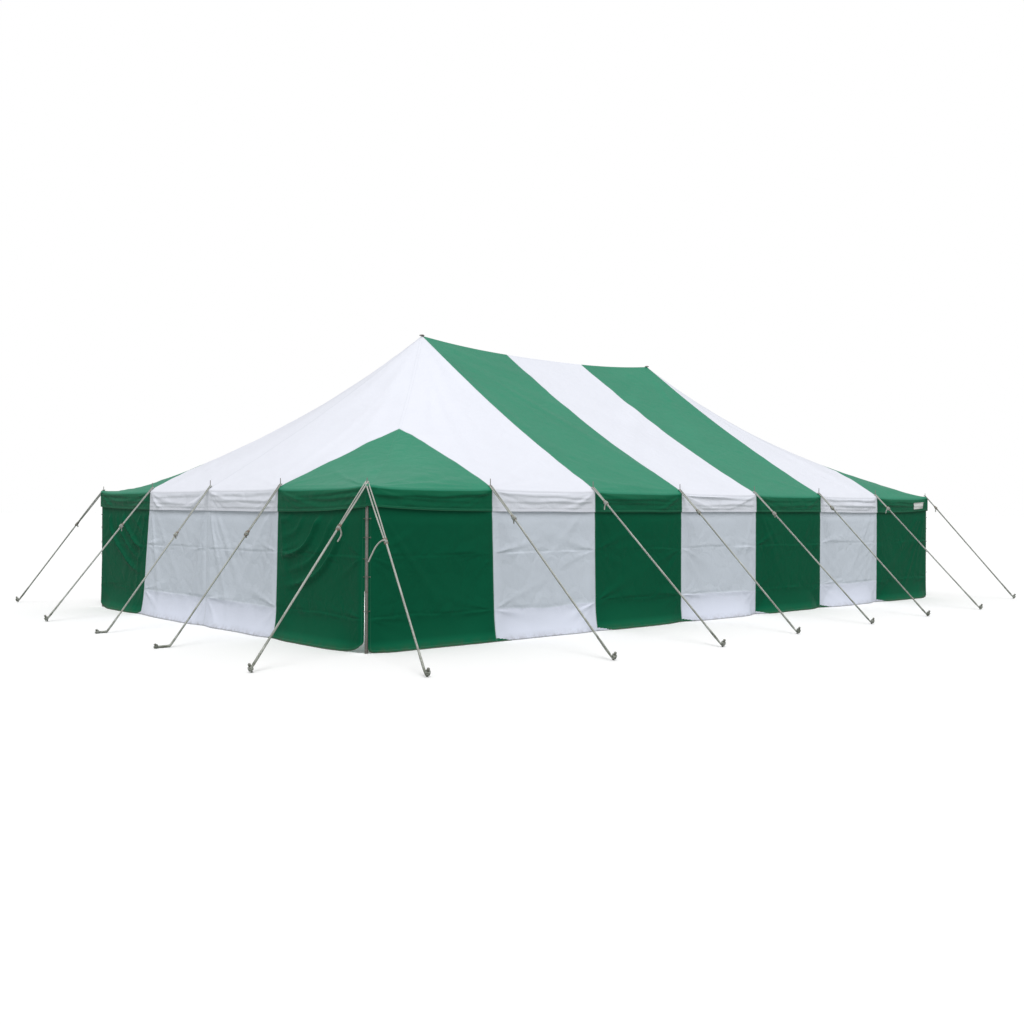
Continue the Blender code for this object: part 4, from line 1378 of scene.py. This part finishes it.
def tail_line(guy, number, up):
    """The rope's free end below its runner."""
    if guy.node == "corner_guys_front_left":
        drops = [Vector(drop) for drop in NEAR_CORNER_TAILS[guy.layer]]
    else:
        random = np.random.default_rng(ROPE_SEED + number)
        tail = random.uniform(0.05, 0.11)
        back = -guy.outward * random.uniform(0.2, 0.6) + guy.sideways * random.uniform(-0.6, 0.6)
        drops = [back * tail * 0.4 + up * 0.01, back * tail * 0.8 - Vector((0, 0, tail * 0.4))]
        drops.append(back * tail - Vector((0, 0, tail)))
    start = guy.runner + up * 0.02 + guy.slope * 0.02
    return bend([start] + [start + drop for drop in drops], 6)


def guy_lines(guy, number, radius):
    """The lines of one guy rope: doubled part, single part, the winding by its runner and its tail."""
    thin = 0.74 * radius
    up = guy.slope.cross(guy.sideways).normalized()
    if up.z < 0:
        up = -up
    girth = 0.017 if guy.knotted else 0.024
    winding = around(guy.runner - guy.slope * 0.018, guy.slope.normalized(), up, girth, 2.4, 2.1 * thin)
    parts = [(doubled_line(guy), thin), single_line(guy, radius, thin)]
    return parts + [(winding, thin), (tail_line(guy, number, up), thin)]


def peg_line(guy):
    """A forged peg: its shank out of the ground, a collar and a domed head."""
    length = PEG_LENGTH * (0.55 if guy.laid else 1)
    base = guy.foot + guy.peg * 0.007
    line = [base + guy.peg * (length * share) for share, _ in PEG_PROFILE]
    return line, [PEG_RADIUS * wide for _, wide in PEG_PROFILE]


def upright(node, profile):
    """A round upright in a node's place, from pairs of height and radius."""
    x, y = middle_of(node)
    return [Vector((x, y, z)) for z, _ in profile], [radius for _, radius in profile]


def side_pole_line(node):
    """A side pole's tube, its plug, and the pin with a worn round tip."""
    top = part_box(node)[1].z
    shoulder = top - PIN_LENGTH - PLUG_LENGTH
    if at_corner(*middle_of(node)):
        top -= CORNER_PIN_DROP
    profile = [(0.0, 0.0225), (0.004, POLE_RADIUS), (shoulder - 0.006, POLE_RADIUS)]
    profile += [(shoulder - 0.001, 0.0225), (shoulder, 0.0062), (top - 0.006, PIN_RADIUS)]
    profile += [(top - 0.002, 0.0045), (top, 0.0018)]
    return upright(node, profile)


def centre_pole_line(node):
    """A centre pole: foot plate, tube, and the round cap that holds the peak."""
    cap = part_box(node)[1].z - CAP_HEIGHT
    profile = [(0.0, 0.128), (0.002, PLATE_RADIUS), (0.010, PLATE_RADIUS), (0.012, 0.127), (0.0125, 0.048)]
    profile += [(0.06, CENTRE_RADIUS), (cap - 0.07, CENTRE_RADIUS), (cap - 0.065, 0.011), (cap, 0.011)]
    profile.append((cap + 0.0005, 0.046))
    for step in range(8):
        angle = math.pi / 2 * step / 8
        profile.append((cap + 0.003 + CAP_DOME * math.sin(angle), CAP_RADIUS * math.cos(angle)))
    return upright(node, profile + [(cap + 0.0255, 0.002)])


def repeated(name, places, part, material):
    """Copies of a small part, as one piece, at many places that each have two directions."""
    mesh = bpy.data.meshes.new(name)
    points, upward, sideward = ([tuple(vector) for vector in column] for column in zip(*places))
    mesh.from_pydata(points, [], [])
    set_attribute(mesh, "upward", "FLOAT_VECTOR", "POINT", upward)
    set_attribute(mesh, "sideward", "FLOAT_VECTOR", "POINT", sideward)
    obj = add_piece(name, mesh)
    part.data.materials.append(finish(material))
    add_tree(obj, "repeated_part", part=part, material=finish(material))
    baked(obj, SMALL_SHARP_ANGLE)
    bpy.data.objects.remove(part, do_unlink=True)
    return obj


def runner_part():
    """A guy runner: a rounded wooden bar with a rope hole near each end."""
    form = bmesh.new()
    bmesh.ops.create_cube(form, size=1.0, matrix=Matrix.Diagonal((*RUNNER_SIZE, 1)))
    bmesh.ops.bevel(form, geom=form.edges, offset=RUNNER_ROUNDING, segments=3, profile=0.6, affect="EDGES")
    part = formed("runner_part", form)
    form = bmesh.new()
    drill = {"cap_ends": True, "segments": 16, "depth": 0.1}
    drill["radius1"] = drill["radius2"] = RUNNER_HOLE_RADIUS
    for side in (-1, 1):
        bmesh.ops.create_cone(form, matrix=Matrix.Translation((side * RUNNER_HOLE_PLACE, 0, 0)), **drill)
    cutter = formed("runner_drill", form)
    holes = part.modifiers.new("holes", "BOOLEAN")
    holes.object = cutter
    holes.operation = "DIFFERENCE"
    baked(part)
    bpy.data.objects.remove(cutter, do_unlink=True)
    layer = part.data.uv_layers.new(name="grain")
    for loop in part.data.loops:
        point = part.data.vertices[loop.vertex_index].co
        layer.data[loop.index].uv = (point.x, point.y + point.z)
    return part


def ring_part(name, radius, thickness):
    """A pressed metal eyelet."""
    form = bmesh.new()
    rings = []
    for i in range(RING_STEPS):
        angle = 2 * math.pi * i / RING_STEPS
        ring = []
        for j in range(RING_SIDES):
            turn = 2 * math.pi * j / RING_SIDES
            reach = radius + thickness * math.cos(turn)
            height = 0.6 * thickness * math.sin(turn)
            ring.append(form.verts.new((reach * math.cos(angle), reach * math.sin(angle), height)))
        rings.append(ring)
    for ring, following in zip(rings, rings[1:] + rings[:1]):
        for j in range(RING_SIDES):
            k = (j + 1) % RING_SIDES
            form.faces.new((ring[j], following[j], following[k], ring[k]))
    bmesh.ops.recalc_face_normals(form, faces=form.faces)
    return formed(name, form)


def corner_ties():
    """Cords that lace the curtains' ends round each corner pole."""
    radius = bpy.context.scene.marquee_rope.tie_radius
    lines, eyelets = [], []
    for x_sign in (-1, 1):
        for y_sign in (-1, 1):
            to_end, to_side = Vector((x_sign, 0, 0)), Vector((0, y_sign, 0))
            for number, level in enumerate(TIE_LEVELS):
                pole = Vector((x_sign * POLE_X, y_sign * POLE_Y, level))
                first = pole - to_end * TIE_INSET + to_side * TIE_FACE
                last = pole - to_side * TIE_INSET + to_end * TIE_FACE
                drop = Vector((0, 0, 0.006 * (1 if number % 2 else -1)))
                points = [first - to_side * 0.012, first + to_side * 0.004 + to_end * 0.012]
                for step in range(7):
                    angle = math.pi / 2 * step / 6
                    reach = (to_side * math.cos(angle) + to_end * math.sin(angle)) * TIE_BOW
                    points.append(pole + reach + drop * math.sin(2 * angle))
                points += [last + to_end * 0.004 + to_side * 0.012, last - to_end * 0.012]
                lines.append((bend(points, 3), radius))
                for place, outward in ((first, to_side), (last, to_end)):
                    eyelets.append((place - outward * 0.0025, outward, Vector((0, 0, 1))))
    return lines, eyelets


# Stage


def floor_material():
    """Pale floor, darker in reflections, as ground is."""
    material, tree, shader = new_material("pale_floor")
    seen = add_node(tree, "ShaderNodeLightPath").outputs["Is Camera Ray"]
    colour = add_mix(tree, seen, (0.42, 0.44, 0.42, 1.0), (0.97, 0.97, 0.97, 1.0))
    feed(tree, shader["Base Color"], colour)
    feed(tree, shader["Roughness"], 1.0)
    feed(tree, shader["Specular IOR Level"], 0.0)
    return material


def sky():
    """White backdrop and an overcast sky, brighter overhead."""
    world = bpy.data.worlds.new("overcast")
    world.use_nodes = True
    tree = world.node_tree
    shade = tree.nodes["Background"].inputs
    place = add_node(tree, "ShaderNodeTexCoord").outputs["Generated"]
    up = split(tree, place)[2]
    light = times_plus(tree, add_math(tree, "MAXIMUM", up, 0.0), SKY_OVERHEAD, SKY_ROUND)
    seen = add_node(tree, "ShaderNodeLightPath").outputs["Is Camera Ray"]
    feed(tree, shade["Strength"], add_mix(tree, seen, light, 1.0, "FLOAT"))
    feed(tree, shade["Color"], (1.0, 1.0, 1.0, 1.0))
    return world


def add_lamp(name, kind, **settings):
    """A lamp in the scene, with its own settings."""
    lamp = bpy.data.lights.new(name, kind)
    for key, value in settings.items():
        setattr(lamp, key, value)
    return add_piece(name, lamp)


# Operators


def settle(piece, slot, *nodes):
    """Hangs a piece on what it rides on and hides the nodes that it stands for; the slot of its finish is
    not used.
    """
    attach(piece, BODY)
    if nodes:
        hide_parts(*nodes)


class MARQUEE_OT_roof(Operator):
    """Make the roof cloth, one sheet for each slope"""

    bl_idname = "marquee.roof"
    bl_label = "Roof Cloth"

    def execute(self, context):
        for side in SIDES:
            sheet = roof_slope(side)
            settle(sheet, CLOTH_SLOT, f"roof_{side.name}" if side.is_long else f"roof_{side.name}_end")
        return {"FINISHED"}


class MARQUEE_OT_valance(Operator):
    """Make the valance under each side of the roof's edge"""

    bl_idname = "marquee.valance"
    bl_label = "Valance"

    def execute(self, context):
        for side in SIDES:
            sheet = valance(side)
            settle(sheet, CLOTH_SLOT, f"valance_{side.name}")
        return {"FINISHED"}


class MARQUEE_OT_curtains(Operator):
    """Make the wall curtain of each side"""

    bl_idname = "marquee.curtains"
    bl_label = "Curtains"

    def execute(self, context):
        for side in SIDES:
            sheet = curtain(side)
            settle(sheet, CLOTH_SLOT, f"wall_{side.name}")
        return {"FINISHED"}


class MARQUEE_OT_poles(Operator):
    """Make the side poles and the centre poles"""

    bl_idname = "marquee.poles"
    bl_label = "Poles"

    def execute(self, context):
        side_nodes = [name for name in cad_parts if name.startswith("side_pole")]
        centre_nodes = ["centre_pole_left", "centre_pole_right"]
        for name, nodes, line_of, sides in (
            ("side_poles", side_nodes, side_pole_line, SIDE_POLE_SIDES),
            ("centre_poles", centre_nodes, centre_pole_line, CENTRE_POLE_SIDES),
        ):
            poles = swept(name, [line_of(node) for node in nodes], sides, "galvanised_steel")
            settle(poles, STEEL_SLOT, *nodes)
        return {"FINISHED"}


class MARQUEE_OT_guys(Operator):
    """Make the guy ropes, their runners and their pegs"""

    bl_idname = "marquee.guys"
    bl_label = "Guy Lines"

    def execute(self, context):
        rope = context.scene.marquee_rope
        every = guys()
        lines, runners = [], []
        for number, guy in enumerate(every):
            lines += guy_lines(guy, number, rope.radius)
            runners.append((guy.runner, guy.slope.cross(guy.sideways).normalized(), guy.slope))
        ropes = swept("guy_ropes", lines, rope.sides, "laid_rope")
        settle(ropes, ROPE_SLOT, *sorted({guy.node for guy in every}))
        settle(repeated("guy_runners", runners, runner_part(), "runner_wood"), ROPE_SLOT)
        settle(swept("guy_pegs", [peg_line(guy) for guy in every], PEG_SIDES, "peg_steel"), STEEL_SLOT)
        return {"FINISHED"}


class MARQUEE_OT_fittings(Operator):
    """Make the corner ties, the eyelets and the blank label"""

    bl_idname = "marquee.fittings"
    bl_label = "Ties and Eyelets"

    def execute(self, context):
        lines, eyelets = corner_ties()
        settle(swept("corner_ties", lines, TIE_SIDES, "tie_cord"), ROPE_SLOT)
        ring = ring_part("eyelet_part", *EYELET_SIZE)
        settle(repeated("curtain_eyelets", eyelets, ring, "galvanised_steel"), STEEL_SLOT)
        places = []
        for x, y in pin_places():
            z = float(roof_height(np.array(x), np.array(y)))
            places.append((Vector((x, y, z + 0.002)), Vector((0, 0, 1)), Vector((1, 0, 0))))
        ring = ring_part("washer_part", *WASHER_SIZE)
        settle(repeated("pin_eyelets", places, ring, "galvanised_steel"), STEEL_SLOT)
        patch = label("valance_label")
        settle(patch, CLOTH_SLOT)
        return {"FINISHED"}


class MARQUEE_OT_stage(Operator):
    """Make the floor, the light and the camera"""

    bl_idname = "marquee.stage"
    bl_label = "Stage"

    def execute(self, context):
        scene = context.scene
        mesh = bpy.data.meshes.new("floor")
        corners = [(x * FLOOR_REACH, y * FLOOR_REACH, FLOOR_LEVEL) for x, y in FLOOR_CORNERS]
        mesh.from_pydata(corners, [], [(0, 1, 2, 3)])
        mesh.materials.append(floor_material())
        add_piece("floor", mesh)
        scene.world = sky()
        sun = add_lamp("soft_sun", "SUN", energy=SUN_STRENGTH, angle=SUN_WIDTH)
        sun.rotation_euler = Vector(SUN_FROM).to_track_quat("Z", "Y").to_euler()
        inside = {"shape": "RECTANGLE", "size": INSIDE_SIZE[0], "size_y": INSIDE_SIZE[1]}
        glow = add_lamp("light_through_cloth", "AREA", energy=INSIDE_LIGHT, **inside)
        glow.location = (0.0, 0.0, INSIDE_HEIGHT)
        lens = bpy.data.cameras.new("camera")
        lens.lens = CAMERA_LENS
        lens.sensor_width = CAMERA_SENSOR
        lens.clip_end = CAMERA_FAR
        camera = add_piece("camera", lens)
        turned = Matrix.Rotation(-CAMERA_YAW, 4, "Z") @ Matrix.Rotation(math.pi / 2 + CAMERA_PITCH, 4, "X")
        turned = turned @ Matrix.Rotation(CAMERA_ROLL, 4, "Z")
        camera.matrix_world = Matrix.Translation(CAMERA_PLACE) @ turned
        scene.camera = camera
        scene.view_settings.view_transform = "Standard"
        return {"FINISHED"}


OPERATORS = (
    MARQUEE_OT_roof,
    MARQUEE_OT_valance,
    MARQUEE_OT_curtains,
    MARQUEE_OT_poles,
    MARQUEE_OT_guys,
    MARQUEE_OT_fittings,
    MARQUEE_OT_stage,
)


SETTINGS = (
    ("marquee_cloth", ClothSettings),
    ("marquee_finish", FinishSettings),
    ("marquee_rope", RopeSettings),
)


class MARQUEE_PT_panel(Panel):
    """Buttons and settings of the marquee"""

    bl_idname = "MARQUEE_PT_panel"
    bl_label = "Striped Pole Marquee"
    bl_space_type = "VIEW_3D"
    bl_region_type = "UI"
    bl_category = "Marquee"

    def draw(self, context):
        layout = self.layout
        for operator in OPERATORS:
            layout.operator(operator.bl_idname)
        for group, _ in SETTINGS:
            settings = getattr(context.scene, group)
            box = layout.box()
            for name in settings.bl_rna.properties.keys():
                if name not in ("rna_type", "name"):
                    box.prop(settings, name)


def register():
    for name, settings in SETTINGS:
        bpy.utils.register_class(settings)
        setattr(bpy.types.Scene, name, PointerProperty(type=settings))
    for operator in OPERATORS:
        bpy.utils.register_class(operator)
    bpy.utils.register_class(MARQUEE_PT_panel)


def unregister():
    bpy.utils.unregister_class(MARQUEE_PT_panel)
    for operator in reversed(OPERATORS):
        bpy.utils.unregister_class(operator)
    for name, settings in reversed(SETTINGS):
        delattr(bpy.types.Scene, name)
        bpy.utils.unregister_class(settings)


def main():
    register()
    for operator in OPERATORS:
        section, name = operator.bl_idname.split(".")
        getattr(getattr(bpy.ops, section), name)()
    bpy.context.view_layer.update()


if __name__ == "__main__":
    main()
